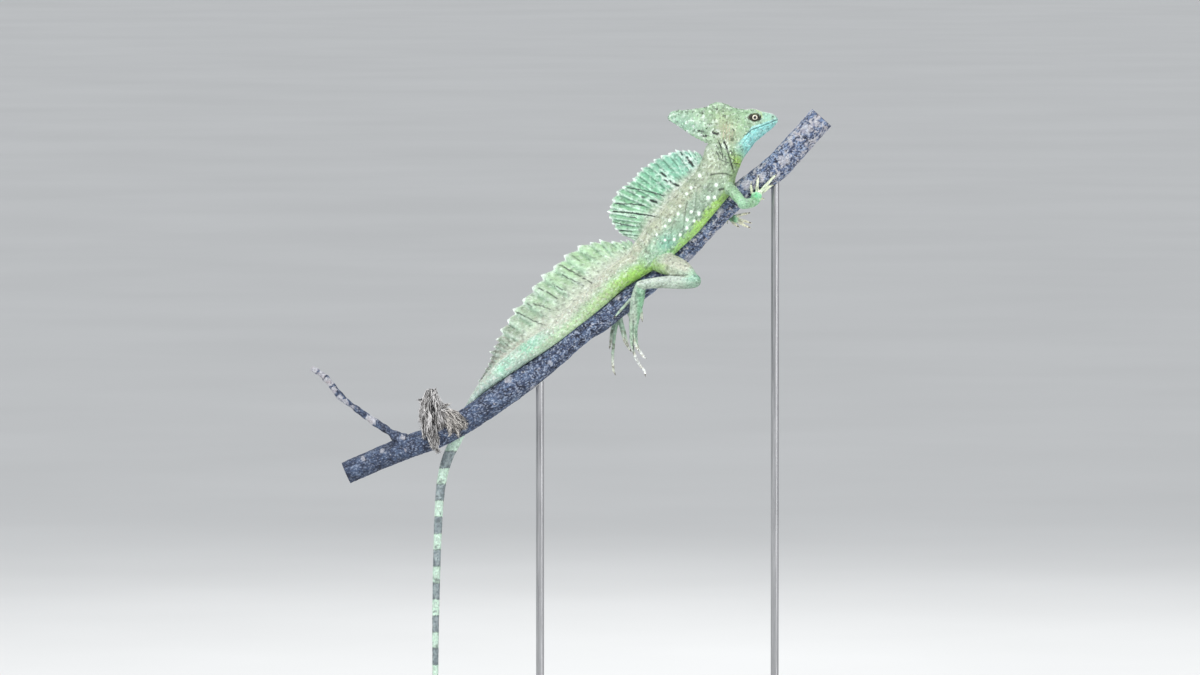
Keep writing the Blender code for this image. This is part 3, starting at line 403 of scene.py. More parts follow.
# Colours as seen, in sRGB
WHITE = (0.90, 0.94, 0.91)
TAN = (0.71, 0.75, 0.67)
MINT = (0.58, 0.80, 0.70)
CASQUE = (0.60, 0.71, 0.59)
TURQUOISE = (0.60, 0.86, 0.84)
ICE = (0.72, 0.89, 0.84)
BROWN = (0.44, 0.39, 0.31)
DARK = (0.07, 0.08, 0.07)
# Pale on the back's ridge and the fins' roots: their own pale colour, and painted light
PALE_EDGE_AND_PAINTED_LIGHT = (0.86, 0.87, 0.82)
BARE_WOOD = (0.55, 0.47, 0.36)
# Dark round the eye: partly the lids' own colour, partly painted shadow of the lids
LID_DARK_AND_SHADOW = (0.13, 0.11, 0.07)

# Soft patches of colour: middle (x, z), reach along and across, turn in degrees, strength and colour
HEAD_PATCHES = [
    (113, 709, 20, 11, -10, 0.8, (0.58, 0.74, 0.65)),
    (150, 717, 18, 8, -5, 0.6, (0.58, 0.71, 0.53)),
    (128, 714, 14, 6, 0, 0.4, (0.64, 0.75, 0.63)),
    (178, 723, 15, 6, 0, 0.6, (0.54, 0.71, 0.52)),
    (172, 708, 10, 8, 0, 0.5, (0.57, 0.72, 0.54)),
    (155, 702, 11, 16, 12, 0.7, (0.64, 0.66, 0.52)),
    (197, 716, 9, 6, 20, 0.85, (0.62, 0.82, 0.74)),
]
NECK_PATCHES = [
    (166, 669, 7, 10, 10, 0.95, (0.56, 0.72, 0.28)),
    (140, 683, 5, 7, 0, 0.5, (0.76, 0.80, 0.72)),
    (168, 683, 5, 5, 40, 0.6, (0.52, 0.70, 0.62)),
]
TRUNK_PATCHES = [
    (143, 666, 14, 15, 20, 0.75, (0.66, 0.69, 0.59)),
    (97, 589, 8, 11, 20, 0.75, (0.50, 0.77, 0.68)),
    (112, 598, 14, 9, 35, 0.4, (0.58, 0.77, 0.66)),
    (93, 577, 10, 7, 30, 0.5, (0.60, 0.77, 0.62)),
    (0, 532, 26, 10, 40, 0.45, (0.80, 0.82, 0.75)),
    (-37, 490, 15, 6, 38, 0.75, MINT),
    (-64, 471, 10, 6, 40, 0.7, MINT),
    (-45, 486, 7, 7, 38, 0.6, (0.54, 0.80, 0.66)),
    (-70, 462, 6, 8, 50, 0.6, (0.56, 0.80, 0.68)),
]

# Coat: region, nodes, spacing and the kind of scale
REGIONS = [
    ("coat_head", ["head"], 1.15, "plate"),
    ("coat_casque", ["head_crest"], 1.35, "plate"),
    ("coat_body", ["neck", "torso"], 0.95, "keeled"),
    ("coat_tail_base", ["tail_base"], 0.95, "keeled"),
    ("coat_tail", ["tail_bend", "tail_upper", "tail_lower"], 1.05, "keeled"),
    ("coat_limbs", [name for chain in LIMB_CHAINS for name in chain[:2]], 0.9, "keeled"),
    ("coat_hands_feet", [chain[2] for chain in LIMB_CHAINS], 0.75, "keeled"),
]
FIN_SPACING = 1.0
COAT_SEED = 11
SAIL_COAT_SEED = 31
TAIL_FIN_COAT_SEED = 32
SCALE_LENGTH = 1.75
SCALE_WIDTH = 1.35
SCALE_LEAN = 0.12
BODY_SCALE_RISE = 0.26
FIN_SCALE_RISE = 0.16
PATCH_START = 0.005
PATCH_SPAN = 0.99
PATCH_SIZE = 0.0027

# The camera's place, from the photograph's framing at 1 mm a pixel
PHOTO_WIDTH = 1200.0
PHOTO_HEIGHT = 675.0
PHOTO_LEFT_X = -570.0
PHOTO_TOP_Z = 832.0
CAMERA_FAR = 10000.0
CAMERA_RISE = 3.5
SENSOR_WIDTH = 36.0


# Marked materials: name, roughness, noise scale and its spread, bump scale and bump height
MARKED_LOOKS = [
    ("hide", 0.5, 900.0, 0.10, 1500.0, 0.12),
    ("scale", 0.42, 700.0, 0.08, 2500.0, 0.05),
    ("horn", 0.35, 1200.0, 0.15, 2500.0, 0.03),
    ("bark", 0.85, 1000.0, 0.32, 1300.0, 0.4),
    ("fibre", 0.9, 1500.0, 0.2, 3000.0, 0.1),
]

# Plain materials: roughness and metal, noise scale, detail and stretch, colours, roughnesses and bump
PLAIN_LOOKS = {
    "brushed_steel": (
        (0.35, 1.0),
        (900.0, 4.0, (1, 1, 0.02)),
        [(0.3, (0.34, 0.34, 0.35)), (0.7, (0.52, 0.52, 0.53))],
        [(0.3, (0.26,) * 3), (0.7, (0.42,) * 3)],
        (0.15, 0.05),
    ),
    "painted_wood": (
        (0.42,),
        (55.0, 6.0, (0.12, 1, 1)),
        [(0.25, (0.011,) * 3), (0.75, (0.022, 0.021, 0.02))],
        [(0.3, (0.36,) * 3), (0.7, (0.5,) * 3)],
        (0.25, 0.15),
    ),
    "floor": ((0.85,), (1.5,), [(0.3, (0.66, 0.66, 0.65)), (0.7, (0.70, 0.70, 0.69))], None, None),
}

# Stage, in metres: each light's name, place, size and power, where they point, floor, world and farthest view
LIGHTS = [
    ("key", (-1.6, -2.2, 2.4), 1.8, 70.0),
    ("fill", (2.2, -2.0, 1.2), 2.2, 30.0),
    ("back", (0.3, 2.2, 2.2), 1.8, 35.0),
]
LIGHT_TARGET = (0.03, 0.0, 0.5)
FLOOR_RADIUS = 90.0
FLOOR_Z = -0.0003
WORLD_COLOUR = (0.93, 0.96, 1.0, 1.0)
WORLD_STRENGTH = 0.75
VIEW_REACH = 500.0


# Numbers
def unit(vectors):
    return vectors / np.maximum(np.linalg.norm(vectors, axis=-1, keepdims=True), 1e-9)


def soft(values, start, end):
    """0 before start, 1 after end, and smooth between them."""
    share = np.clip((values - start) / (end - start), 0, 1)
    return share * share * (3 - 2 * share)


def bell(distance, reach):
    """1 at no distance, and near 0 from twice the reach on."""
    return np.exp(-((distance / reach) ** 2))


def oval(x, z, place):
    """A bell in the side view round a place: its middle (x, z) and its reach along x and z."""
    middle_x, middle_z, reach_x, reach_z = place
    return np.exp(-(((x - middle_x) / reach_x) ** 2 + ((z - middle_z) / reach_z) ** 2))


def ring_turns(sides):
    return 2 * np.pi * np.arange(sides) / sides


def track(rows, places):
    """The rows at places counted in rows, on a smooth curve through all of them."""
    rows = np.asarray(rows, float)
    last = len(rows) - 1
    places = np.clip(np.atleast_1d(np.asarray(places, float)), 0, last)
    index = np.minimum(places.astype(int), last - 1)
    share = (places - index)[:, None]
    padded = np.vstack([2 * rows[0] - rows[1], rows, 2 * rows[-1] - rows[-2]])
    before, a, b, after = (padded[index + step] for step in range(4))
    square = share * share
    cube = square * share
    return (
        (2 * cube - 3 * square + 1) * a
        + (cube - 2 * square + share) * (b - before) / 2
        + (3 * square - 2 * cube) * b
        + (cube - square) * (after - a) / 2
    )


def heading(rows, places):
    """How the rows change along the track at each place."""
    return track(rows, places + HEADING_STEP) - track(rows, places - HEADING_STEP)


def wobble(points, size, seed):
    """Smooth random values from -1 to 1 that change over about one size."""
    scaled = np.asarray(points, float) / size
    cell = np.floor(scaled).astype(np.int64)
    share = scaled - cell
    share = share * share * (3 - 2 * share)
    total = np.zeros(len(scaled))
    for corner in np.ndindex(2, 2, 2):
        near = cell + np.array(corner)
        key = near[:, 0] * 73856093 ^ near[:, 1] * 19349663 ^ near[:, 2] * 83492791 ^ (seed * 2654435761)
        key = ((key ^ (key >> 15)) * 2246822519) & 0xFFFFFFFF
        key = ((key ^ (key >> 13)) * 3266489917) & 0xFFFFFFFF
        value = (key >> 8) / float(1 << 23) - 1
        weight = np.prod(np.where(np.array(corner), share, 1 - share), axis=1)
        total += value * weight
    return total


def line_distance(x, z, line):
    """The distance of points in the side view from a line of points."""
    best = np.full(len(x), FAR)
    for (ax, az), (bx, bz) in zip(line[:-1], line[1:]):
        dx, dz = bx - ax, bz - az
        share = np.clip(((x - ax) * dx + (z - az) * dz) / (dx * dx + dz * dz), 0, 1)
        best = np.minimum(best, np.hypot(x - ax - share * dx, z - az - share * dz))
    return best


# Meshes
def place_object(name, data):
    item = bpy.data.objects.new(name, data)
    bpy.context.scene.collection.objects.link(item)
    return item


def piece_from(name, points, faces, material, smooth=True):
    """A piece that rides on the model, from points in millimetres and equal-sided faces."""
    points = np.asarray(points, float) * MM
    faces = np.asarray(faces, np.int32)
    sides = faces.shape[1]
    mesh = bpy.data.meshes.new(name)
    mesh.vertices.add(len(points))
    mesh.vertices.foreach_set("co", points.astype(np.float32).ravel())
    mesh.loops.add(faces.size)
    mesh.loops.foreach_set("vertex_index", faces.ravel())
    mesh.polygons.add(len(faces))
    mesh.polygons.foreach_set("loop_start", np.arange(0, faces.size, sides, dtype=np.int32))
    mesh.update(calc_edges=True)
    mesh.validate()
    item = place_object(name, mesh)
    if smooth:
        mesh.shade_smooth()
    else:
        mesh.shade_flat()
    return dress(item, material)


def dress(item, material):
    item.data.materials.clear()
    item.data.materials.append(material)
    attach(item, "root")
    return item


def set_marks(item, colours):
    """Stores seen colours as the linear colours that the materials read."""
    colours = np.clip(colours, 0, 1)
    linear = np.where(colours <= 0.04045, colours / 12.92, ((colours + 0.055) / 1.055) ** 2.4)
    layer = item.data.color_attributes.new("marks", "FLOAT_COLOR", "POINT")
    rows = np.column_stack([linear, np.ones(len(linear))])
    layer.data.foreach_set("color", rows.astype(np.float32).ravel())


def set_number(item, name, values):
    layer = item.data.attributes.new(name, "FLOAT", "POINT")
    layer.data.foreach_set("value", np.asarray(values, np.float32))


def set_vector(item, name, values):
    layer = item.data.attributes.new(name, "FLOAT_VECTOR", "POINT")
    layer.data.foreach_set("vector", np.asarray(values, np.float32).ravel())


def rows_of(data, key, width, kind=np.float32):
    """One kind of a mesh's numbers, a row for each point or edge."""
    values = np.zeros(len(data) * width, kind)
    data.foreach_get(key, values)
    return values.reshape(-1, width)


def points_of(mesh):
    return rows_of(mesh.vertices, "co", 3).astype(float) / MM


def normals_of(mesh):
    return rows_of(mesh.vertex_normals, "vector", 3).astype(float)


def edges_of(mesh):
    return rows_of(mesh.edges, "vertices", 2, np.int32)


def put_points(mesh, points):
    mesh.vertices.foreach_set("co", (points * MM).astype(np.float32).ravel())
    mesh.update()


def ways_round(first, second, turns):
    """Directions at these turns round each point of a line, from two directions across it."""
    turns = turns[None, :, None]
    return np.cos(turns) * first[:, None, :] + np.sin(turns) * second[:, None, :]


def tube(path, radii, sides):
    """Points and faces of a closed tube along a path, with a flat face fan over each end."""
    path = np.asarray(path, float)
    ahead = unit(np.gradient(path, axis=0))
    guide = np.where(np.abs(ahead[:, 1:2]) < 0.9, np.array([[0.0, 1.0, 0.0]]), np.array([[1.0, 0.0, 0.0]]))
    first = unit(np.cross(ahead, guide))
    ring = ways_round(first, np.cross(ahead, first), ring_turns(sides))
    points = (path[:, None, :] + ring * np.asarray(radii, float)[:, None, None]).reshape(-1, 3)
    points = np.vstack([points, path[0], path[-1]])
    return points, tube_faces(len(path), sides)


def ring_faces(low, high, sides):
    """Triangles between two rings of points, from the number of each ring's first point."""
    faces = []
    for side in range(sides):
        after = (side + 1) % sides
        faces.append((low + side, high + side, low + after))
        faces.append((low + after, high + side, high + after))
    return faces


def tube_faces(rings, sides):
    """Faces of a tube whose last two points are the middles of its ends."""
    faces = []
    for row in range(rings - 1):
        faces += ring_faces(row * sides, (row + 1) * sides, sides)
    first = rings * sides
    top = (rings - 1) * sides
    for side in range(sides):
        after = (side + 1) % sides
        faces.append((first, side, after))
        faces.append((first + 1, top + after, top + side))
    return np.array(faces)


def join_parts(parts):
    """One list of points and faces from several."""
    points = []
    faces = []
    count = 0
    for part_points, part_faces in parts:
        points.append(part_points)
        faces.append(np.asarray(part_faces) + count)
        count += len(part_points)
    return np.vstack(points), np.vstack(faces)


def point_tree(points):
    tree = KDTree(len(points))
    for index, point in enumerate(points):
        tree.insert(point, index)
    tree.balance()
    return tree


# Materials
def new_material(name, roughness, metallic=0.0):
    made = bpy.data.materials.new(name)
    made.use_nodes = True
    shader = made.node_tree.nodes["Principled BSDF"]
    shader.inputs["Roughness"].default_value = roughness
    shader.inputs["Metallic"].default_value = metallic
    return made, made.node_tree.nodes, made.node_tree.links, shader


def add_noise(nodes, links, scale, detail=3.0, stretch=(1, 1, 1)):
    """Noise in the object's own space, where scale counts cells a metre."""
    place = nodes.new("ShaderNodeTexCoord")
    mapping = nodes.new("ShaderNodeMapping")
    mapping.inputs["Scale"].default_value = stretch
    grain = nodes.new("ShaderNodeTexNoise")
    grain.inputs["Scale"].default_value = scale
    grain.inputs["Detail"].default_value = detail
    links.new(place.outputs["Object"], mapping.inputs["Vector"])
    links.new(mapping.outputs["Vector"], grain.inputs["Vector"])
    return grain


def add_bump(nodes, links, height, shader, strength, distance):
    bump = nodes.new("ShaderNodeBump")
    bump.inputs["Strength"].default_value = strength
    bump.inputs["Distance"].default_value = distance * MM
    links.new(height, bump.inputs["Height"])
    links.new(bump.outputs["Normal"], shader.inputs["Normal"])


def add_ramp(nodes, links, value, stops):
    ramp = nodes.new("ShaderNodeValToRGB")
    links.new(value, ramp.inputs["Fac"])
    while len(ramp.color_ramp.elements) < len(stops):
        ramp.color_ramp.elements.new(0.5)
    for element, (place, colour) in zip(ramp.color_ramp.elements, stops):
        element.position = place
        element.color = (*colour, 1.0)
    return ramp


def marked_material(name, roughness, grain_scale, spread, bump_scale, bump_height):
    """Colour from the marks that the mesh carries, varied by fine noise, with small scales as bump."""
    made, nodes, links, shader = new_material(name, roughness)
    marks = nodes.new("ShaderNodeAttribute")
    marks.attribute_name = "marks"
    grain = add_noise(nodes, links, grain_scale)
    shade = add_ramp(nodes, links, grain.outputs["Fac"], [(0.3, (1 - spread,) * 3), (0.7, (1 + spread,) * 3)])
    mix = nodes.new("ShaderNodeMix")
    mix.data_type = "RGBA"
    mix.blend_type = "MULTIPLY"
    mix.inputs["Factor"].default_value = 1.0
    links.new(marks.outputs["Color"], mix.inputs[6])
    links.new(shade.outputs["Color"], mix.inputs[7])
    links.new(mix.outputs[2], shader.inputs["Base Color"])
    cells = nodes.new("ShaderNodeTexVoronoi")
    cells.inputs["Scale"].default_value = bump_scale
    place = nodes.new("ShaderNodeTexCoord")
    links.new(place.outputs["Object"], cells.inputs["Vector"])
    add_bump(nodes, links, cells.outputs["Distance"], shader, 0.5, bump_height)
    return made


def toned_material(name):
    """Colour, and for some roughness and height too, that follow fine noise."""
    surface, noise, tones, rough, bump = PLAIN_LOOKS[name]
    made, nodes, links, shader = new_material(name, *surface)
    grain = add_noise(nodes, links, *noise).outputs["Fac"]
    tone = add_ramp(nodes, links, grain, tones)
    links.new(tone.outputs["Color"], shader.inputs["Base Color"])
    if rough:
        shade = add_ramp(nodes, links, grain, rough)
        links.new(shade.outputs["Color"], shader.inputs["Roughness"])
        add_bump(nodes, links, grain, shader, *bump)
    return made


def eye_material():
    """Pupil, pale iris and dark rim by the distance from the eye's axis, as the mesh carries it."""
    made, nodes, links, shader = new_material("eye", 0.08)
    radial = nodes.new("ShaderNodeAttribute")
    radial.attribute_name = "radial"
    stops = [
        (0.0, (0.006, 0.006, 0.006)),
        (0.31, (0.006, 0.006, 0.006)),
        (0.34, (0.52, 0.46, 0.30)),
        (0.39, (0.84, 0.81, 0.70)),
        (0.53, (0.80, 0.76, 0.62)),
        (0.59, (0.30, 0.24, 0.14)),
        (0.64, (0.02, 0.018, 0.012)),
        (1.0, (0.02, 0.018, 0.012)),
    ]
    tone = add_ramp(nodes, links, radial.outputs["Fac"], stops)
    links.new(tone.outputs["Color"], shader.inputs["Base Color"])
    shader.inputs["Coat Weight"].default_value = 0.5
    shader.inputs["Coat Roughness"].default_value = 0.12
    return made


# The flesh's own directions
def flesh_rows():
    rows = []
    for back_x, back_z, belly_x, belly_z, y, width, share in FLAT_SECTIONS:
        back = np.array([back_x, y, back_z])
        belly = np.array([belly_x, y, belly_z])
        depth = np.linalg.norm(back - belly) / 2
        rows.append([*((back + belly) / 2), *unit(back - belly), depth, width, share])
    for x, y, z, roll, depth, width in ROLLED_SECTIONS:
        turn = math.radians(roll)
        up = math.cos(turn) * BRANCH_NORMAL + math.sin(turn) * np.array([0.0, 1.0, 0.0])
        rows.append([x, y, z, *unit(up), depth, width, 1.0])
    return np.array(rows)


FLESH = flesh_rows()


def flesh_frame(places):
    """Middle, way along, sideways and upward directions, half depth, half width and outline share."""
    row = track(FLESH, places)
    ahead = unit(heading(FLESH, np.asarray(places))[:, :3])
    up = unit(row[:, 3:6])
    side = unit(np.cross(up, ahead))
    return row[:, :3], ahead, side, up, row[:, 6], row[:, 7], row[:, 8]


def flesh_lattice():
    """Points all over the flesh with their place, turn round it and height share."""
    places = np.arange(0.0, FLESH_END, 0.1)
    steps = 24
    outline_steps = np.linspace(0, len(HEAD_OUTLINE) - 1, steps + 1)
    head = track(HEAD_OUTLINE, outline_steps)
    body = track(BODY_OUTLINE, outline_steps)
    middle, _, side, up, depth, width, share = flesh_frame(places)
    points = []
    facts = []
    for sign in (1, -1):
        for step in range(steps + 1):
            across = head[step, 0] * (1 - share) + body[step, 0] * share
            rise = head[step, 1] * (1 - share) + body[step, 1] * share
            points.append(middle + side * (sign * across * width)[:, None] + up * (rise * depth)[:, None])
            turn = np.full(len(places), 0.5 + sign * step / steps / 2)
            facts.append(np.column_stack([places, turn, rise]))
    return np.vstack(points), np.vstack(facts)


def back_point(places, sunk):
    middle, _, _, up, depth, _, _ = flesh_frame(places)
    return middle + up * (depth - sunk)[:, None]


# The branch
def branch_radius(place, angle, radius):
    swell = 0.035 * np.sin(2.3 * place + 1.0) * np.cos(angle - place) + 0.02 * np.sin(3 * angle + 1.7 * place)
    return radius * (1 + swell)


def on_branch(x, z, radius):
    """The depth at which a finger of this radius lies on the near side of the branch."""
    places = np.arange(0.0, len(BRANCH) - 1 + 0.01, 0.05)
    axis = track(BRANCH, places)
    nearest = int(np.argmin(np.hypot(axis[:, 0] - x, axis[:, 1] - z)))
    place = places[nearest]
    along = unit(heading(BRANCH, place)[0, :2])
    offset = np.array([x, z]) - axis[nearest, :2]
    height = offset[1] * along[0] - offset[0] * along[1]
    reach = axis[nearest, 2] * 1.04 + 0.3 + radius
    room = reach * reach - height * height
    return -math.sqrt(room) if room > 0 else 0.0


def digit_path(points, radius):
    return np.array([(x, on_branch(x, z, radius) if y is None else y, z) for x, z, y in points])


# The skin
def joined_flesh(names, swell):
    """The flesh nodes' faces in one list, moved outward, with each face's part."""
    points = []
    faces = []
    parts = []
    count = 0
    for name in names:
        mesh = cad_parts[name].data
        work = bmesh.new()
        work.from_mesh(mesh)
        bmesh.ops.remove_doubles(work, verts=work.verts, dist=0.002 * MM)
        bmesh.ops.triangulate(work, faces=work.faces)
        work.normal_update()
        here = np.array([point.co for point in work.verts]) / MM
        out = np.array([point.normal for point in work.verts])
        work.verts.index_update()
        corners = np.array([[point.index for point in face.verts] for face in work.faces])
        work.free()
        points.append(here + out * swell)
        faces.append(corners + count)
        parts.append(np.full(len(corners), PART.get(name, 0)))
        count += len(here)
    return np.vstack(points), np.vstack(faces), np.concatenate(parts)


def remeshed(points, faces, voxel):
    """A closed surface of small squares round all of the faces; loose scraps are left in."""
    mesh = bpy.data.meshes.new("rough")
    mesh.from_pydata([tuple(point) for point in points * MM], [], [tuple(face) for face in faces.tolist()])
    item = place_object("rough", mesh)
    modifier = item.modifiers.new("remesh", "REMESH")
    modifier.mode = "VOXEL"
    modifier.voxel_size = voxel * MM
    made = bpy.data.meshes.new_from_object(item.evaluated_get(bpy.context.evaluated_depsgraph_get()))
    bpy.data.objects.remove(item)
    bpy.data.meshes.remove(mesh)
    return made


def keep_largest(work):
    left = set(work.faces)
    groups = []
    while left:
        stack = [left.pop()]
        group = []
        while stack:
            face = stack.pop()
            group.append(face)
            for edge in face.edges:
                for near in edge.link_faces:
                    if near in left:
                        left.remove(near)
                        stack.append(near)
        groups.append(group)
    groups.sort(key=len)
    for group in groups[:-1]:
        bmesh.ops.delete(work, geom=group, context="FACES")
    loose = [point for point in work.verts if not point.link_faces]
    bmesh.ops.delete(work, geom=loose, context="VERTS")


def refine(mesh):
    """Drops scraps and halves the squares on the head."""
    work = bmesh.new()
    work.from_mesh(mesh)
    keep_largest(work)
    fine = set()
    for face in work.faces:
        middle = face.calc_center_median() / MM
        if middle.z > FINE_ABOVE and middle.x > FINE_RIGHT_OF:
            fine.update(face.edges)
    bmesh.ops.subdivide_edges(work, edges=list(fine), cuts=1, use_grid_fill=True)
    bmesh.ops.triangulate(work, faces=[face for face in work.faces if len(face.verts) > 4])
    work.to_mesh(mesh)
    work.free()


def averaged(values, edges):
    """Each point's value as the mean of its neighbours'."""
    count = np.maximum(np.bincount(edges.ravel(), minlength=len(values)), 1)
    columns = []
    for axis in range(values.shape[1]):
        total = np.bincount(edges[:, 0], values[edges[:, 1], axis], len(values))
        total += np.bincount(edges[:, 1], values[edges[:, 0], axis], len(values))
        columns.append(total / count)
    return np.column_stack(columns)


def smoothed(points, edges, rounds, strength):
    for _ in range(rounds):
        points = points + (averaged(points, edges) - points) * strength
    return points


def nearest_parts(points, tree, face_parts):
    parts = np.zeros(len(points), np.int32)
    for index, point in enumerate(points):
        parts[index] = face_parts[tree.find_nearest(point)[2]]
    return parts


def part_values(parts, table, other):
    """A number for each point from its part's name, or from the name's first word."""
    values = np.full(len(parts), float(other))
    for name, index in PART.items():
        if name in table:
            values[parts == index] = table[name]
        elif name.split("_")[0] in table:
            values[parts == index] = table[name.split("_")[0]]
    return values


def on_flesh(parts):
    return parts < len(FLESH_NODES)


class Guide:
    """What the marks and the coat need to know at each point of the skin."""

    def __init__(self, points, parts):
        count = len(points)
        self.points = points
        self.parts = parts
        self.place = np.zeros(count)
        self.turn = np.zeros(count)
        self.rise = np.zeros(count)
        self.lie = np.zeros((count, 3))
        self.along = np.zeros(count)
        self.wrap = np.zeros((count, 2))
        self.read_flesh()
        for order, chain in enumerate(LIMB_CHAINS):
            for step, name in enumerate(chain):
                self.read_limb(chain, name, (order * 3 + step) / 12)

    def read_flesh(self):
        lattice, facts = flesh_lattice()
        tree = point_tree(lattice)
        flesh = np.flatnonzero(on_flesh(self.parts))
        found = np.array([tree.find(point)[1] for point in self.points[flesh]])
        self.place[flesh] = facts[found, 0]
        self.turn[flesh] = facts[found, 1]
        self.rise[flesh] = facts[found, 2]
        self.lie[flesh] = flesh_frame(self.place[flesh])[1]
        self.along[flesh] = self.place[flesh] / FLESH_END
        self.wrap[flesh] = np.column_stack([self.along[flesh], self.turn[flesh]])

    def read_limb(self, chain, name, row):
        mine = np.flatnonzero(self.parts == PART[name])
        mesh = points_of(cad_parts[name].data)
        centre = mesh.mean(axis=0)
        here = self.points[mine]
        if name in DIGITS:
            paths, radius = DIGITS[name]
            self.read_digits(mine, here, [digit_path(path, radius) for path in paths], centre, row)
            return
        axis = np.linalg.eigh(np.cov((mesh - centre).T))[1][:, -1]
        if name == chain[0]:
            ahead = np.array([0.0, np.sign(centre[1] - MIDDLE_Y), 0.0])
        else:
            ahead = points_of(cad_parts[chain[2]].data).mean(axis=0) - centre
        if axis @ ahead < 0:
            axis = -axis
        reach = (mesh - centre) @ axis
        share = ((here - centre) @ axis - reach.min()) / (reach.max() - reach.min())
        first = unit(np.cross(axis, np.array([0.0, 0.0, 1.0])))
        second = np.cross(axis, first)
        angle = np.arctan2((here - centre) @ second, (here - centre) @ first) / (2 * np.pi) + 0.5
        self.lie[mine] = axis
        self.along[mine] = share
        self.wrap[mine] = np.column_stack([share, row + angle / 12])

    def read_digits(self, mine, here, paths, centre, row):
        """On a hand or foot the coat lies toward the nearest tip, and along runs from 0 to 1."""
        best = np.full(len(here), FAR)
        lie = np.zeros((len(here), 3))
        along = np.zeros(len(here))
        which = np.zeros(len(here))
        for index, path in enumerate(paths):
            path = np.vstack([centre, path])
            for step in range(len(path) - 1):
                a, b = path[step], path[step + 1]
                share = np.clip((here - a) @ (b - a) / ((b - a) @ (b - a)), 0, 1)
                away = np.linalg.norm(here - a - share[:, None] * (b - a), axis=1)
                near = away < best
                best[near] = away[near]
                lie[near] = unit(b - a)
                along[near] = (step + share[near]) / (len(path) - 1)
                which[near] = index
        self.lie[mine] = lie
        self.along[mine] = along
        self.wrap[mine] = np.column_stack([along, row + (which + 0.5 + 0.3 * np.sin(best)) / 60])


def carve(points, normals, guide):
    """The finer forms of the head and the folds: mouth and lips, nostrils and skin folds."""
    x, z = points[:, 0], points[:, 2]
    flesh = on_flesh(guide.parts)
    head = guide.parts == PART["head"]
    move = np.zeros(len(points))
    mouth = line_distance(x, z, MOUTH)
    outer = head & (np.abs(points[:, 1] - MIDDLE_Y) > 0.5)
    groove = -0.75 * bell(mouth, 0.5) + 0.28 * bell(mouth - 1.3, 0.7)
    move += np.where(outer, groove, 0)
    nostril = np.hypot(x - NOSTRIL[0], z - NOSTRIL[1])
    hole = -0.8 * bell(nostril, 0.7) + 0.2 * bell(nostril - 1.3, 0.5)
    move += np.where(head, hole, 0)
    for line, width, depth, _ in FOLDS:
        away = line_distance(x, z, line)
        sides = flesh & (np.abs(guide.rise) < 0.95)
        fold = -depth * bell(away, width) + 0.35 * depth * bell(away - 2.2 * width, width)
        move += np.where(sides, fold, 0)
    rough = 0.10 * wobble(points, 3.0, 3) + 0.06 * wobble(points, 1.6, 4)
    move += np.where(guide.parts == PART["head_crest"], rough * 0.8, rough * 0.5)
    return points + normals * move[:, None]


# Marks
def lay(colour, new, share):
    return colour + (np.asarray(new, float) - colour) * np.clip(share, 0, 1)[:, None]


def ramped(values, stops):
    """A colour for each value, blended between stops of value and colour."""
    places = [stop[0] for stop in stops]
    tones = np.array([stop[1] for stop in stops], float)
    return np.column_stack([np.interp(values, places, tones[:, axis]) for axis in range(3)])


def dots(x, z, rows):
    """How far each point lies in one of the round marks."""
    best = np.zeros(len(x))
    for spot_x, spot_z, size in rows:
        reach = 1.35 * size
        best = np.maximum(best, 1 - soft(np.hypot(x - spot_x, (z - spot_z) / 1.2), reach * 0.7, reach * 1.25))
    return best


def patched(colour, x, z, patches):
    """The colour with soft oval patches laid over it."""
    for spot_x, spot_z, reach, across, turn, strength, tone in patches:
        lean = math.radians(turn)
        along = (x - spot_x) * math.cos(lean) + (z - spot_z) * math.sin(lean)
        aside = -(x - spot_x) * math.sin(lean) + (z - spot_z) * math.cos(lean)
        near = np.exp(-((along / reach) ** 2 + (aside / across) ** 2))
        colour = lay(colour, tone, strength * near)
    return colour


def stroked(colour, points, strokes, tone, where=1.0):
    """The colour with dark strokes, ragged along their edges, and pale flecks beside the strong ones."""
    x, z = side_view(points)
    x = x + STROKE_WAVE * wobble(points, 2.2, 53)
    z = z + STROKE_WAVE * wobble(points, 2.2, 54)
    ragged = 1 + 0.6 * wobble(points, 1.3, 55)
    for line, width, strength in strokes:
        away = line_distance(x, z, line) / (width * ragged)
        if strength > 0.88:
            colour = lay(colour, WHITE, 0.6 * bell(away - 2.4, 0.9) * where)
        colour = lay(colour, tone, strength * np.exp(-(away ** 4)) * where)
    return colour


def mottled(colour, points, seed, pale, dark):
    """The colour with pale flecks and dark specks of 1 to 2 mm, as strong as given."""
    flecks = soft(wobble(points, 2.0, seed) + 0.5 * wobble(points, 0.95, seed + 1), 0.12, 0.62)
    specks = soft(wobble(points, 1.7, seed + 2) + 0.5 * wobble(points, 0.9, seed + 3), 0.2, 0.75)
    deep = colour * 0.52
    colour = lay(colour, WHITE, pale * flecks)
    return colour + (deep - colour) * np.clip(dark * specks, 0, 1)[:, None]


def side_view(points):
    """Side-view places of the marks: the left side's are shifted a little, so that the two sides differ."""
    left = points[:, 1] > MIDDLE_Y
    return points[:, 0] - np.where(left, LEFT_SHIFT[0], 0), points[:, 2] - np.where(left, LEFT_SHIFT[1], 0)


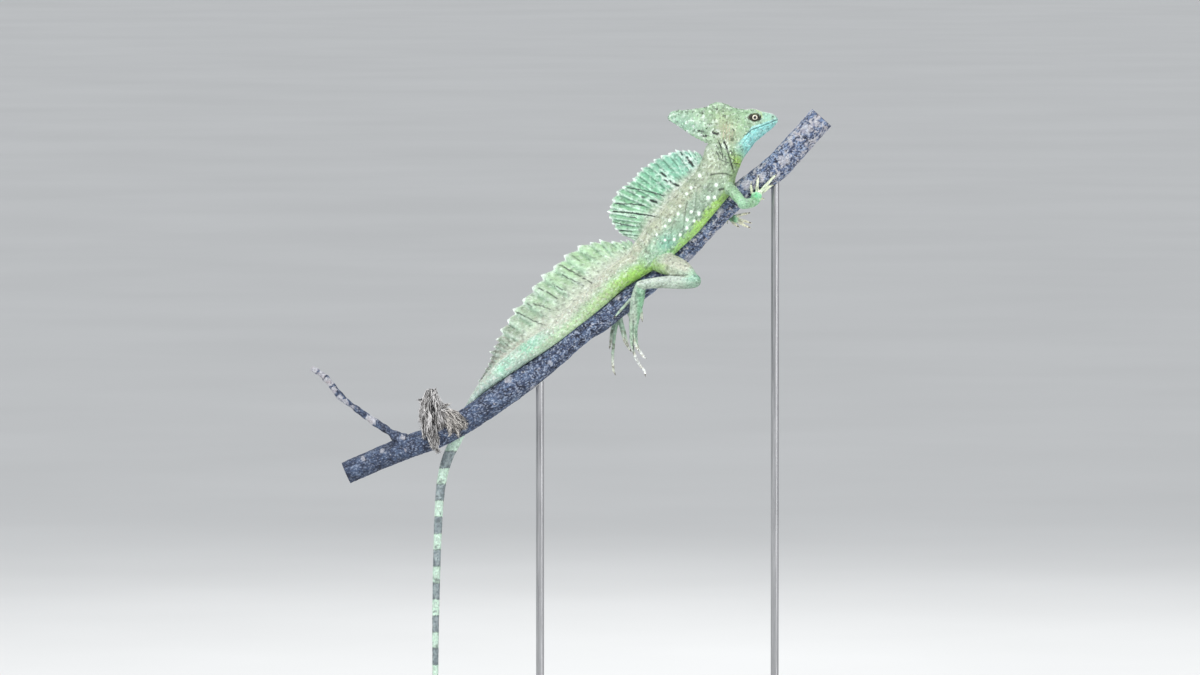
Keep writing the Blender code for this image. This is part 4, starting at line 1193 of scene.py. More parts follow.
BACK_TONES = [
    (9, (0.64, 0.72, 0.61)),
    (13, (0.62, 0.69, 0.60)),
    (16, (0.68, 0.71, 0.61)),
    (22, (0.71, 0.73, 0.64)),
    (26, (0.73, 0.76, 0.69)),
    (30, (0.74, 0.79, 0.75)),
]
FLANK_TONES = [
    (9, (0.60, 0.71, 0.57)),
    (13, (0.59, 0.69, 0.58)),
    (16, (0.59, 0.68, 0.59)),
    (20, (0.59, 0.72, 0.61)),
    (24, (0.66, 0.77, 0.62)),
    (28, (0.68, 0.77, 0.69)),
    (32, (0.70, 0.76, 0.72)),
]
BELLY_TONES = [
    (8, (0.58, 0.72, 0.46)),
    (10.5, (0.55, 0.66, 0.48)),
    (14, (0.56, 0.68, 0.48)),
    (15.4, (0.66, 0.84, 0.44)),
    (20, (0.67, 0.85, 0.44)),
    (21.6, (0.61, 0.82, 0.36)),
    (22.8, (0.63, 0.82, 0.42)),
    (23.8, (0.68, 0.81, 0.56)),
    (25.5, (0.68, 0.79, 0.62)),
    (28, (0.67, 0.76, 0.69)),
    (30, (0.67, 0.76, 0.72)),
]


def trunk_marks(points, guide):
    x, z = side_view(points)
    uneven = 0.10 * wobble(points, 5.0, 21) + 0.06 * wobble(points, 2.0, 22)
    back = soft(guide.rise + 2 * uneven, 0.0, 0.65)
    colour = lay(ramped(guide.place, FLANK_TONES), ramped(guide.place, BACK_TONES), back)
    height = guide.rise + uneven
    tail = soft(guide.place, 20.8, 22.5)
    share = (1 - tail) * (1 - soft(height, -0.68, -0.50)) + tail * (1 - soft(height, -0.35, 0.3))
    colour = lay(colour, ramped(guide.place, BELLY_TONES), share)
    # The back's pale ridge: its own pale colour, and painted light that lifts the shade where the fins meet
    # the back
    ridge = soft(guide.rise, 0.86, 0.96) * soft(guide.place, 15, 16)
    colour = lay(colour, PALE_EDGE_AND_PAINTED_LIGHT, 0.55 * ridge)
    border = bell(height + 0.48, 0.05) * soft(guide.place, 15, 17) * (1 - soft(guide.place, 21, 23))
    colour = lay(colour, (0.30, 0.38, 0.26), 0.4 * border)
    colour = patched(colour, x, z, TRUNK_PATCHES)
    waves = np.cos(2 * np.pi * (guide.place + 0.6 * uneven - 13.6) / 1.15)
    trunk = soft(guide.place, 11.5, 13) * (1 - soft(guide.place, 21, 23))
    shade = soft(waves, 0.2, 1.0) * soft(guide.rise, -0.5, 0.2) * trunk
    return lay(colour, (0.46, 0.54, 0.44), 0.28 * shade)


def head_marks(points):
    x, z = side_view(points)
    colour = np.tile(np.array(CASQUE, float), (len(points), 1))
    colour = patched(colour, x, z, HEAD_PATCHES)
    streaks = soft(np.sin(2.1 * x + 0.5 * wobble(points, 2.5, 25)) + 0.5 * wobble(points, 1.2, 26), 0.2, 0.9)
    temple = oval(x, z, TEMPLE)
    colour = lay(colour, (0.74, 0.64, 0.56), 0.6 * streaks * temple)
    below = line_side(x, z)
    start = np.interp(x, [172, 182, 200], [0.5, -3.0, -1.8])
    jaw = soft(below - start, -0.8, 0.8) * soft(x + 0.25 * z, 334, 348)
    colour = lay(colour, TURQUOISE, jaw)
    colour = lay(colour, (0.72, 0.90, 0.87), 0.6 * jaw * soft(-below, -0.6, 0.4))
    stripes = soft(np.sin(1.15 * x - 0.75 * z + wobble(points, 4.0, 23)), 0.5, 1.0)
    colour = lay(colour, (0.46, 0.68, 0.70), 0.3 * stripes * jaw)
    colour = patched(colour, x, z, NECK_PATCHES)
    colour = lay(colour, ICE, 0.8 * soft(x, 201, 207))
    dashes = soft(wobble(points * np.array([0.45, 1.0, 1.3]), 1.5, 24), 0.25, 0.7)
    return lay(colour, WHITE, 0.65 * dashes * soft(-x, -156, -142) * soft(z, 690, 697))


def line_side(x, z):
    """Millimetres below the mouth's line, which is carried on straight behind its corner."""
    line = np.array([(150.0, 676.0), *MOUTH])
    return np.interp(x, line[:, 0], line[:, 1]) - z


def hanging_marks(points):
    """Bands on the bend and the hanging tail."""
    z = points[:, 2]
    turn = 2 * np.pi * (z - BAND_FIRST) / BAND_STEP
    wave = np.cos(turn) + 0.14 * wobble(points, 2.5, 31) + 0.08 * wobble(points, 1.0, 32)
    band = soft(wave, -0.1, 0.1)
    grey = np.tile(np.array([0.55, 0.60, 0.61]), (len(points), 1))
    mottle = soft(wobble(points, 1.6, 34), -0.1, 0.5)
    grey = lay(grey, (0.34, 0.38, 0.40), 0.6 * mottle)
    colour = lay(grey, (0.77, 0.87, 0.80), band)
    edge = bell(wave, 0.10)
    colour = lay(colour, (0.26, 0.31, 0.29), 0.55 * edge)
    low_end = bell(((z - BAND_FIRST) / BAND_STEP - 0.33) % 1.0 - 0.5, 0.07)
    spots = soft(wobble(points, 2.4, 33), 0.05, 0.45)
    colour = lay(colour, (0.24, 0.28, 0.27), 0.5 * low_end * spots)
    return lay(colour, (0.70, 0.79, 0.74), soft(z, 398, 412))


LIMB_TONES = {
    "thigh": [
        (0, (0.62, 0.76, 0.62)),
        (0.3, (0.73, 0.75, 0.67)),
        (0.8, (0.75, 0.76, 0.69)),
        (1, (0.60, 0.77, 0.66)),
    ],
    "thigh_under": [
        (0, (0.60, 0.77, 0.42)),
        (0.3, (0.64, 0.78, 0.50)),
        (0.5, (0.70, 0.75, 0.65)),
        (1, (0.58, 0.75, 0.64)),
    ],
    "shank": [
        (0, (0.54, 0.73, 0.62)),
        (0.14, (0.60, 0.77, 0.68)),
        (0.3, (0.76, 0.81, 0.76)),
        (1, (0.76, 0.80, 0.76)),
    ],
    "foot": [
        (0, (0.66, 0.72, 0.65)),
        (0.3, (0.62, 0.73, 0.63)),
        (0.5, (0.72, 0.78, 0.70)),
        (0.75, (0.84, 0.86, 0.80)),
        (1, (0.80, 0.80, 0.74)),
    ],
    "upper_arm": [(0, (0.60, 0.71, 0.58)), (0.5, (0.60, 0.75, 0.60)), (1, (0.62, 0.80, 0.63))],
    "forearm": [(0, (0.62, 0.80, 0.66)), (0.5, (0.56, 0.73, 0.56)), (1, (0.52, 0.78, 0.58))],
    "hand": [
        (0, (0.48, 0.84, 0.60)),
        (0.35, (0.50, 0.85, 0.62)),
        (0.55, (0.84, 0.90, 0.74)),
        (1, (0.90, 0.91, 0.80)),
    ],
}
PALM = (185.5, 634.5)
# Painted shadow in the crease between the right thigh and shank: points (x, z), half width and strength
THIGH_CREASE_SHADOW = [
    ([(78, 560.5), (92, 558.8), (107, 558.4), (117, 559.5)], 0.6, 0.7),
]


def limb_marks(points, normals, guide):
    x, z = points[:, 0], points[:, 2]
    colour = np.tile(np.array(CASQUE, float), (len(points), 1))
    above = soft(normals[:, 2], -0.2, 0.6)
    outer = soft(np.abs(normals[:, 1]), 0.2, 0.8)
    for name, index in PART.items():
        if name in FLESH_NODES:
            continue
        mine = guide.parts == index
        along = guide.along[mine]
        here = points[mine]
        kind = name.rsplit("_", 1)[0]
        shown = ramped(along, LIMB_TONES[kind])
        if kind == "thigh":
            shown = lay(ramped(along, LIMB_TONES["thigh_under"]), shown, above[mine] + 0.35 * outer[mine])
        elif kind == "shank":
            shown = lay(shown, (0.58, 0.66, 0.58), 0.6 * (1 - above[mine]))
        elif name == "foot_right":
            shown = lay(shown, (0.76, 0.81, 0.76), 0.7 * soft(-x[mine], -66, -62) * soft(z[mine], 515, 530))
            shown = lay(shown, (0.48, 0.70, 0.54), 0.75 * soft(x[mine], 65, 69) * (1 - soft(along, 0.4, 0.6)))
            shown = lay(shown, (0.97, 0.98, 0.97), 0.8 * soft(-z[mine], -490, -478))
            shown = lay(shown, (0.68, 0.79, 0.70), 0.85 * soft(-x[mine], -61, -58) * soft(z[mine], 508, 514))
            # Painted shade in the gap between two toes of the right foot
            between = bell(x[mine] - 63.2, 0.6) * soft(-z[mine], -520, -512)
            shown = lay(shown, (0.20, 0.24, 0.20), 0.7 * between * (1 - soft(along, 0.5, 0.7)))
        elif name == "foot_left":
            shown = lay(shown, (0.61, 0.73, 0.64), 0.8 * (1 - soft(along, 0.5, 0.8)))
            shown = lay(shown, (0.80, 0.82, 0.76), 0.7 * soft(along, 0.6, 0.9))
        elif name == "hand_right":
            beyond = soft(np.hypot(x[mine] - PALM[0], z[mine] - PALM[1]), 5.2, 7.5)
            shown = lay(shown, (0.92, 0.95, 0.84), 0.9 * beyond)
        elif name == "hand_left":
            # Painted shade: the palm of the far hand darkened
            shown = lay(shown, (0.46, 0.56, 0.44), 0.8 * (1 - soft(along, 0.25, 0.45)))
            shown = lay(shown, (0.90, 0.89, 0.80), 0.8 * soft(along, 0.35, 0.5))
        if name in DIGITS:
            bars = soft(np.sin(along * 26 + 0.8 * wobble(here, 2.0, 41)), 0.45, 0.9) * soft(along, 0.35, 0.5)
            shown = lay(shown, BROWN, (0.15 if name.startswith("hand") else 0.28) * bars)
            streaks = soft(wobble(here * np.array([1, 1, 0.25]), 1.6, 42), 0.1, 0.5)
            shown = lay(shown, (0.42, 0.54, 0.46), 0.45 * streaks * (1 - soft(along, 0.3, 0.6)))
        colour[mine] = shown
    # Painted shadow along the crease between the right thigh and shank
    colour = stroked(colour, points, THIGH_CREASE_SHADOW, (0.16, 0.20, 0.14))
    groin = soft(np.sin(x * 2.1 + 0.4 * z), 0.2, 0.8) * oval(x, z, GROIN)
    return lay(colour, (0.42, 0.47, 0.30), 0.5 * groin)


def skin_marks(points, normals, guide):
    """The colour at each point of the skin."""
    x, z = side_view(points)
    flesh = on_flesh(guide.parts)
    on_head = guide.parts == PART["head"]
    head = on_head | (guide.parts == PART["head_crest"])
    colour = trunk_marks(points, guide)
    head_colour = head_marks(points)
    colour = lay(colour, head_colour, head * 1.0)
    near_head = soft(-guide.place, -11.2, -9.6) * (guide.parts == PART["neck"])
    colour = lay(colour, head_colour, near_head)
    hanging = soft(guide.place, 33.6, 34.6) * flesh
    colour = lay(colour, hanging_marks(points), hanging)
    colour = np.where(flesh[:, None], colour, limb_marks(points, normals, guide))
    trunk = flesh & ~head & (guide.rise > -0.62)
    tail = soft(guide.place, 21, 24) * trunk
    strong = (np.where(trunk, 0.44, 0.36) + 0.10 * tail) * (1 - 0.6 * hanging)
    deep = 0.5 * (1 - 0.35 * tail) * (1 - 0.5 * hanging)
    colour = mottled(colour, points, 51, strong, deep)
    pinkish = soft(wobble(points, 1.5, 63) + 0.4 * wobble(points, 0.8, 64), 0.25, 0.7)
    colour = lay(colour, (0.76, 0.70, 0.66), 0.45 * pinkish * tail)
    spots = dots(x, z, FLANK_SPOTS) * (guide.parts == PART["torso"])
    colour = lay(colour, (0.92, 0.97, 0.92), spots)
    neck = oval(x, z, NECK_SIDE) * flesh
    specks = soft(wobble(points, 1.4, 57), 0.35, 0.7)
    flecks = soft(wobble(points, 1.5, 58), 0.35, 0.7)
    colour = lay(colour, (0.16, 0.20, 0.16), 0.55 * neck * specks)
    colour = lay(colour, WHITE, 0.7 * neck * flecks)
    # Painted shade along each fold of the skin
    for line, width, _, dark in FOLDS:
        seen = bell(line_distance(x, z, line), width)
        colour = lay(colour, DARK, dark * seen * flesh * (np.abs(guide.rise) < 0.97))
    colour = stroked(colour, points, HEAD_STROKES, DARK, flesh * 1.0)
    # Painted shade in the groove of the mouth: a dark, broken line along it
    broken = 0.55 + 0.45 * soft(wobble(points, 2.2, 59), -0.3, 0.3)
    mouth = bell(line_distance(x, z, MOUTH), 0.42) * broken
    colour = lay(colour, (0.16, 0.26, 0.28), 0.85 * mouth * on_head)
    # Painted shade in the nostril's hollow
    nostril = bell(np.hypot(x - NOSTRIL[0], z - NOSTRIL[1]), 0.9)
    colour = lay(colour, DARK, 0.7 * nostril * head)
    # Dark skin round the eye: partly the lids' own dark colour, partly painted shadow of the lids, stronger
    # in front of and behind the eye
    aside = np.abs(x - EYE[0])
    turn = aside / np.maximum(np.hypot(aside, z - EYE[1]), 0.1)
    ring = np.hypot(aside / 6.8, (z - EYE[1]) / (4.5 - 0.2 * aside)) + 0.2 * wobble(points, 1.6, 60)
    colour = lay(colour, WHITE, 0.35 * bell(ring - 1.3, 0.14) * on_head)
    lid_dark_and_shadow = (0.5 + 0.42 * soft(turn, 0.4, 0.8)) * (1 - soft(ring, 0.85, 1.1)) * on_head
    colour = lay(colour, LID_DARK_AND_SHADOW, lid_dark_and_shadow)
    edge = bell(line_distance(x, z, BROW_EDGE), 0.8) * on_head
    colour = lay(colour, (0.76, 0.84, 0.56), 0.6 * edge)
    tone = 1 + 0.05 * wobble(points, 7.0, 61) + 0.05 * wobble(points, 1.4, 62)
    return colour * tone[:, None]


def brought_back(points, solids):
    """Points that smoothing has sunk deep into the solids, moved out to just above their surface."""
    moved = points.copy()
    for index, point in enumerate(points):
        nearest, normal, _, distance = solids.find_nearest(Vector(point))
        outward = (Vector(point) - nearest).dot(normal)
        if outward < SWELL and distance < SUNK_MOST:
            target = np.array(nearest) + np.array(normal) * SWELL
            moved[index] = point + (target - point) * BROUGHT_SHARE
    return moved


def make_skin(material):
    points, faces, face_parts = joined_flesh(SKIN_NODES, 0.0)
    solids = BVHTree.FromPolygons([tuple(point) for point in points], faces.tolist())
    swollen, faces, _ = joined_flesh(SKIN_NODES, SWELL)
    mesh = remeshed(swollen, faces, VOXEL)
    refine(mesh)
    points = points_of(mesh)
    edges = edges_of(mesh)
    parts = nearest_parts(points, solids, face_parts)
    strength = part_values(parts, SMOOTHING, SMOOTHING_ELSEWHERE)[:, None]
    for _ in range(STRENGTH_ROUNDS):
        strength = averaged(strength, edges)
    points = smoothed(points, edges, SMOOTH_ROUNDS, strength)
    thin = np.isin(parts, [PART[name] for name in THIN_NODES])
    points[thin] = brought_back(points[thin], solids)
    points = smoothed(points, edges, EVENING_ROUNDS, EVENING)
    put_points(mesh, points)
    points = points - normals_of(mesh) * (SWELL + INSET) * INWARD_SHARE
    put_points(mesh, points)
    guide = Guide(points, parts)
    points = carve(points, normals_of(mesh), guide)
    put_points(mesh, points)
    item = place_object("skin", mesh)
    mesh.shade_smooth()
    dress(item, material)
    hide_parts(*SKIN_NODES)
    set_marks(item, skin_marks(points, normals_of(mesh), guide))
    set_vector(item, "lie", guide.lie)
    set_vector(item, "wrap", np.column_stack([guide.wrap, np.zeros(len(points))]))
    region = np.zeros(len(parts), np.int32)
    for index, (_, names, _, _) in enumerate(REGIONS):
        for name in names:
            region[parts == PART[name]] = index
    set_number(item, "region", region)
    return item


# The coat
def scatter(item, spacing, seed, region=None):
    """Even random points on the mesh, or on one region of it, with the mesh's attributes at each."""
    tree = bpy.data.node_groups.new("scatter", "GeometryNodeTree")
    tree.interface.new_socket("Geometry", in_out="INPUT", socket_type="NodeSocketGeometry")
    tree.interface.new_socket("Geometry", in_out="OUTPUT", socket_type="NodeSocketGeometry")
    nodes, links = tree.nodes, tree.links
    source = nodes.new("NodeGroupInput")
    target = nodes.new("NodeGroupOutput")
    spread = nodes.new("GeometryNodeDistributePointsOnFaces")
    spread.distribute_method = "POISSON"
    spread.inputs["Distance Min"].default_value = spacing * MM
    spread.inputs["Density Max"].default_value = 3.0 / (spacing * MM) ** 2
    spread.inputs["Seed"].default_value = seed
    store = nodes.new("GeometryNodeStoreNamedAttribute")
    store.data_type = "FLOAT_VECTOR"
    store.domain = "POINT"
    store.inputs["Name"].default_value = "out"
    corners = nodes.new("GeometryNodePointsToVertices")
    links.new(source.outputs[0], spread.inputs["Mesh"])
    links.new(spread.outputs["Points"], store.inputs["Geometry"])
    links.new(spread.outputs["Normal"], store.inputs["Value"])
    links.new(store.outputs["Geometry"], corners.inputs["Points"])
    links.new(corners.outputs["Mesh"], target.inputs[0])
    modifier = item.modifiers.new("scatter", "NODES")
    modifier.node_group = tree
    made = bpy.data.meshes.new_from_object(item.evaluated_get(bpy.context.evaluated_depsgraph_get()))
    item.modifiers.remove(modifier)
    bpy.data.node_groups.remove(tree)
    found = {"points": points_of(made)}
    for name in ("out", "lie", "wrap"):
        found[name] = rows_of(made.attributes[name].data, "vector", 3).astype(float)
    found["marks"] = rows_of(made.attributes["marks"].data, "color", 4)[:, :3].astype(float)
    if region is not None:
        values = rows_of(made.attributes["region"].data, "value", 1)[:, 0]
        keep = np.round(values).astype(int) == region
        found = {name: values[keep] for name, values in found.items()}
    bpy.data.meshes.remove(made)
    return found


# One scale: corners along, across and above the skin, as shares of its size, and its faces
KEELED = (
    [(-0.62, 0, -0.5), (-0.02, 0.5, 0.1), (0.62, 0, 0.75), (-0.02, -0.5, 0.1), (0.12, 0, 1.0)],
    [(0, 4, 1), (0, 3, 4), (1, 4, 2), (4, 3, 2), (0, 1, 3), (1, 2, 3)],
)
PLATE = (
    [
        (-0.55, 0, -0.4),
        (-0.25, 0.48, 0.0),
        (0.28, 0.48, 0.3),
        (0.55, 0, 0.5),
        (0.28, -0.48, 0.3),
        (-0.25, -0.48, 0.0),
        (0.05, 0, 0.9),
    ],
    [
        (0, 6, 1),
        (1, 6, 2),
        (2, 6, 3),
        (3, 6, 4),
        (4, 6, 5),
        (5, 6, 0),
        (0, 1, 5),
        (1, 2, 5),
        (2, 4, 5),
        (2, 3, 4),
    ],
)


def coat(name, found, spacing, kind, material, height=BODY_SCALE_RISE):
    """One joined piece of scales, each at a found point, lying the coat's way."""
    chance = np.random.default_rng(COAT_SEED)
    corners, faces = (np.array(rows, float) for rows in (KEELED if kind == "keeled" else PLATE))
    faces = faces.astype(np.int32)
    count = len(found["points"])
    out = unit(found["out"])
    lie = found["lie"] - out * np.sum(found["lie"] * out, axis=1, keepdims=True)
    lie = unit(lie + SCALE_LEAN * chance.normal(size=(count, 3)))
    lie = unit(lie - out * np.sum(lie * out, axis=1, keepdims=True))
    across = np.cross(out, lie)
    size = spacing * chance.uniform(0.9, 1.12, (count, 1))
    length = SCALE_LENGTH * size
    width = SCALE_WIDTH * size
    rise = height * size * chance.uniform(0.8, 1.2, (count, 1))
    points = (
        found["points"][:, None, :]
        + lie[:, None, :] * (length * corners[:, 0])[:, :, None]
        + across[:, None, :] * (width * corners[:, 1])[:, :, None]
        + out[:, None, :] * (rise * corners[:, 2])[:, :, None]
    ).reshape(-1, 3)
    starts = np.arange(count) * len(corners)
    all_faces = (faces[None, :, :] + starts[:, None, None]).reshape(-1, 3)
    item = piece_from(name, points, all_faces, material, smooth=False)
    tint = chance.normal(1.0, 0.11, (count, 1)) + chance.normal(0, 0.02, (count, 3))
    colours = np.clip(found["marks"] * np.clip(tint, 0.7, 1.35), 0, 1)
    layer = item.data.color_attributes.new("marks", "FLOAT_COLOR", "POINT")
    spread = np.repeat(np.column_stack([colours, np.ones(count)]), len(corners), axis=0)
    layer.data.foreach_set("color", spread.astype(np.float32).ravel())
    wrap = found["wrap"][:, :2]
    low, high = wrap.min(axis=0), wrap.max(axis=0)
    middle = PATCH_START + PATCH_SPAN * (wrap - low) / np.maximum(high - low, 1e-6)
    corner_places = middle[:, None, :] + PATCH_SIZE * corners[None, :, :2]
    uv = item.data.uv_layers.new(name="OFBake")
    uv.data.foreach_set("uv", corner_places.reshape(-1, 2)[all_faces.ravel()].astype(np.float32).ravel())


def fin_coat(name, piece, seed, material):
    found = scatter(piece, FIN_SPACING, seed)
    coat(name, found, FIN_SPACING, "keeled", material, FIN_SCALE_RISE)


# The fins
TOOTH_AT = 0.82
FIN_STEPS = 12
ROOT_SUNK = 1.8


def raised(columns):
    """How far the edge is raised at each column: it climbs along each ray and drops behind it."""
    share = columns % 1
    return np.where(share < TOOTH_AT, (share / TOOTH_AT) ** 1.15, (1 - share) / (1 - TOOTH_AT))


def from_ray(columns):
    """The distance from the nearest ray, as a share of half the way between two rays."""
    return np.abs((columns - TOOTH_AT + 0.5) % 1 - 0.5) * 2


def fin(name, keys, rays, across, tooth, thick, sway, ripple, marks, material, node):
    """A fin of skin over rays, alike on both faces, its edge cut into teeth and its rays raised."""
    columns = np.linspace(0, rays, rays * FIN_STEPS + 1)
    shares = np.linspace(0, 1, across + 1)
    keyed = track(keys, (len(keys) - 1) * columns / rays)
    root = back_point(keyed[:, 0], ROOT_SUNK)
    tip = np.column_stack([keyed[:, 1], root[:, 1], keyed[:, 2]])
    length = np.linalg.norm(tip - root, axis=1)
    uneven = 1 + 0.35 * np.sin(np.floor(columns) * 2.4 + 0.7) * raised(columns)
    notch = np.minimum(tooth, 0.3 * length) * (0.5 - raised(columns) * uneven)
    tip = tip - unit(tip - root) * notch[:, None]
    place = root[:, None, :] + (tip - root)[:, None, :] * shares[None, :, None]
    bend = sway * np.sin(2.2 * np.pi * columns / rays)[:, None] * shares[None, :] ** 2
    waves = np.sin(np.pi * columns)[:, None] * shares[None, :] * (1 - 0.3 * shares[None, :])
    place[:, :, 1] += bend + ripple * waves
    away = from_ray(columns)
    ridge = bell(away, 0.36)
    groove = bell(away - 1, 0.22)
    body = thick[0] + (thick[1] - thick[0]) * shares[None, :] ** 0.8
    relief = 0.76 + 0.48 * ridge[:, None] * (1 - 0.35 * shares[None, :])
    relief = relief - 0.22 * groove[:, None] * soft(shares, 0.15, 0.4)[None, :]
    rough = 0.12 * wobble(place.reshape(-1, 3), 1.4, 70).reshape(place.shape[:2])
    near = place.copy()
    far = place.copy()
    near[:, :, 1] -= body * relief / 2 + rough * 0.5
    far[:, :, 1] += body * relief / 2 + rough * 0.5
    points, faces = closed_sheet(near, far)
    item = piece_from(name, points, faces, material)
    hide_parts(node)
    column_of = np.tile(np.repeat(columns, across + 1), 2)
    share_of = np.tile(shares, 2 * len(columns))
    set_marks(item, marks(points, column_of, share_of))
    way = np.tile(np.repeat(unit(tip - root), across + 1, axis=0), (2, 1))
    set_vector(item, "lie", way)
    faces_side = np.repeat([0.0, 1.0], len(columns) * (across + 1))
    wrap = np.column_stack([column_of / rays, share_of * 0.48 + faces_side * 0.5, np.zeros(len(points))])
    set_vector(item, "wrap", wrap)
    return item


def closed_sheet(near, far):
    """Two like grids of points closed into one thin body, with the same triangles on both."""
    columns, rows = near.shape[:2]
    points = np.vstack([near.reshape(-1, 3), far.reshape(-1, 3)])
    shift = columns * rows
    index = np.arange(shift).reshape(columns, rows)
    a = index[:-1, :-1].ravel()
    b = index[1:, :-1].ravel()
    c = index[1:, 1:].ravel()
    d = index[:-1, 1:].ravel()
    front = np.vstack([np.column_stack([a, b, c]), np.column_stack([a, c, d])])
    back = front[:, ::-1] + shift
    rim = np.concatenate([index[:, 0], index[-1, 1:], index[-2::-1, -1], index[0, -2:0:-1]])
    after = np.roll(rim, -1)
    first = np.column_stack([rim, rim + shift, after])
    second = np.column_stack([after, rim + shift, after + shift])
    return points, np.vstack([front, back, first, second])


SAIL_TONES = [
    (0, (0.57, 0.72, 0.62)),
    (3, (0.52, 0.73, 0.65)),
    (9, (0.48, 0.71, 0.58)),
    (15, (0.50, 0.70, 0.54)),
    (20, (0.54, 0.71, 0.58)),
    (23, (0.62, 0.70, 0.62)),
]
TAIL_FIN_TONES = [
    (0, (0.64, 0.75, 0.63)),
    (6, (0.63, 0.76, 0.59)),
    (12, (0.62, 0.71, 0.60)),
    (16, (0.48, 0.51, 0.46)),
    (22, (0.50, 0.51, 0.49)),
]


def fin_marks(points, column, share, tones, strokes, look):
    """A fin's colour: greyish tan at the root, pale soft rays with a painted highlight along each, white
    tips, thin painted shadows behind the rays and dark strokes.
    """
    root, ray, shade = look
    away = from_ray(column)
    uneven = 0.06 * wobble(points, 5, 71)
    low, high, tone = root
    colour = lay(ramped(column, tones), tone, 0.85 * (1 - soft(share + uneven, low, high)))
    # A pale strip at the fin's root: its own pale colour, and painted light that lifts the shade where the
    # fin meets the back
    colour = lay(colour, PALE_EDGE_AND_PAINTED_LIGHT, 0.5 * (1 - soft(share, 0.06, 0.14)))
    # The rays' paler colour, with a painted highlight along each ray's ridge
    streaks = bell(away, 0.38) * soft(share, 0.12, 0.4)
    colour = lay(colour, (0.80, 0.92, 0.84), ray * streaks)
    # Painted shadow in the valley behind each ray
    behind = bell(column % 1 - 0.02, 0.13) + bell(column % 1 - 1.02, 0.13)
    reach = 0.35 + 0.2 * np.sin(np.floor(column + 0.5) * 2.6)
    colour = lay(colour, (0.28, 0.44, 0.36), shade * behind * soft(share + uneven, reach, reach + 0.2))
    colour = mottled(colour, points, 72, 0.45, 0.5)
    colour = stroked(colour, points, strokes, (0.09, 0.12, 0.11))
    tips = bell(away, 0.5) * soft(share, 0.91, 0.97)
    return lay(colour, WHITE, 0.8 * tips + 0.3 * soft(share, 0.96, 0.99))


def sail_marks(points, column, share):
    # The rays' pale colour with its painted highlight grows stronger toward the rear; the painted shadow
    # behind the rays is 0.75 strong
    rays = 0.35 + 0.5 * soft(column, 9, 14)
    colour = fin_marks(points, column, share, SAIL_TONES, SAIL_STROKES, ((0.08, 0.34, TAN), rays, 0.75))
    tone = 1 + 0.07 * wobble(points, 6.0, 76) + 0.08 * wobble(points, 1.5, 77)
    return colour * tone[:, None]


def tail_fin_marks(points, column, share):
    # Look: the pale root, the strength of the rays' pale colour with its painted highlight, and of the
    # painted shadow behind the rays
    pale = (0.15, 0.6, (0.74, 0.77, 0.70))
    colour = fin_marks(points, column, share, TAIL_FIN_TONES, TAIL_STROKES, (pale, 0.35, 0.3))
    rear = soft(column, 8, 14)
    colour = lay(colour, (0.80, 0.82, 0.80), 0.3 * rear * soft(wobble(points, 1.9, 82), 0.1, 0.5))
    colour = lay(colour, (0.60, 0.53, 0.50), 0.45 * rear * soft(wobble(points, 1.7, 83), 0.3, 0.7))
    tone = 1 + 0.07 * wobble(points, 6.0, 84) + 0.07 * wobble(points, 1.5, 85)
    return colour * tone[:, None]


# Eyes, lids and claws
# Lids: partly their own dark colour, partly painted shadow, by the distance from the eye's middle
LID_DARK_AND_SHADOW_TONES = [(0.8, (0.10, 0.08, 0.05)), (1.0, (0.14, 0.12, 0.08)), (1.2, (0.24, 0.24, 0.17))]
CLAW_LENGTH = 2.8
CLAW_BOW = 0.35
CLAW_STEPS = 8


def eyeball(name, side, material, node):
    """An eyeball with a low cornea, turned about the axis that points out of the head."""
    rings = 40
    sides = 48
    cornea = 2.9
    leans = np.linspace(0, math.pi, rings + 1)
    radial = EYE_RADIUS * np.sin(leans)
    out = EYE_RADIUS * np.cos(leans)
    out = out + 0.35 * np.where((radial < cornea) & (out > 0), 1 - (radial / cornea) ** 2, 0)
    turns = ring_turns(sides)
    points = [(0, out[0], 0)]
    away = [0.0]
    for r, o in zip(radial[1:-1], out[1:-1]):
        for turn in turns:
            points.append((r * math.cos(turn), o, r * math.sin(turn)))
            away.append(r if o > 0 else EYE_RADIUS)
    points.append((0, out[-1], 0))
    away.append(EYE_RADIUS)
    points = np.array(points) * np.array([1, side, 1]) + np.array([EYE[0], MIDDLE_Y + side * EYE_OUT, EYE[1]])
    faces = []
    for step in range(sides):
        after = (step + 1) % sides
        faces.append((0, 1 + step, 1 + after))
        for row in range(rings - 2):
            low = 1 + row * sides
            faces.append((low + step, low + sides + step, low + after))
            faces.append((low + after, low + sides + step, low + sides + after))
        low = 1 + (rings - 2) * sides
        faces.append((low + step, len(points) - 1, low + after))
    faces = np.array(faces)
    if side > 0:
        faces = faces[:, ::-1]
    item = piece_from(name, points, faces, material)
    set_number(item, "radial", np.array(away) / EYE_RADIUS)
    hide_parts(node)


def lid_ring(side, half_x, half_z, lift, radius, shift_z=0.0):
    """A closed bead of skin round the eye, lying on the ball."""
    turns = np.linspace(0, 2 * np.pi, 65)[:-1]
    x = half_x * np.cos(turns)
    z = half_z * np.sin(turns) * np.where(np.sin(turns) > 0, 1.0, 0.92) + shift_z
    ball = EYE_RADIUS + lift
    y = np.sqrt(np.maximum(ball * ball - x * x - z * z, 0.3))
    path = np.column_stack([EYE[0] + x, MIDDLE_Y + side * (EYE_OUT + y), EYE[1] + z])
    return closed_ring(path, radius)


def closed_ring(path, radius, sides=10):
    ahead = unit(np.roll(path, -1, axis=0) - np.roll(path, 1, axis=0))
    middle = path.mean(axis=0)
    first = unit(np.cross(ahead, path - middle))
    ring = ways_round(first, np.cross(ahead, first), ring_turns(sides))
    points = (path[:, None, :] + ring * radius).reshape(-1, 3)
    count = len(path)
    faces = []
    for row in range(count):
        faces += ring_faces(row * sides, (row + 1) % count * sides, sides)
    return points, np.array(faces)


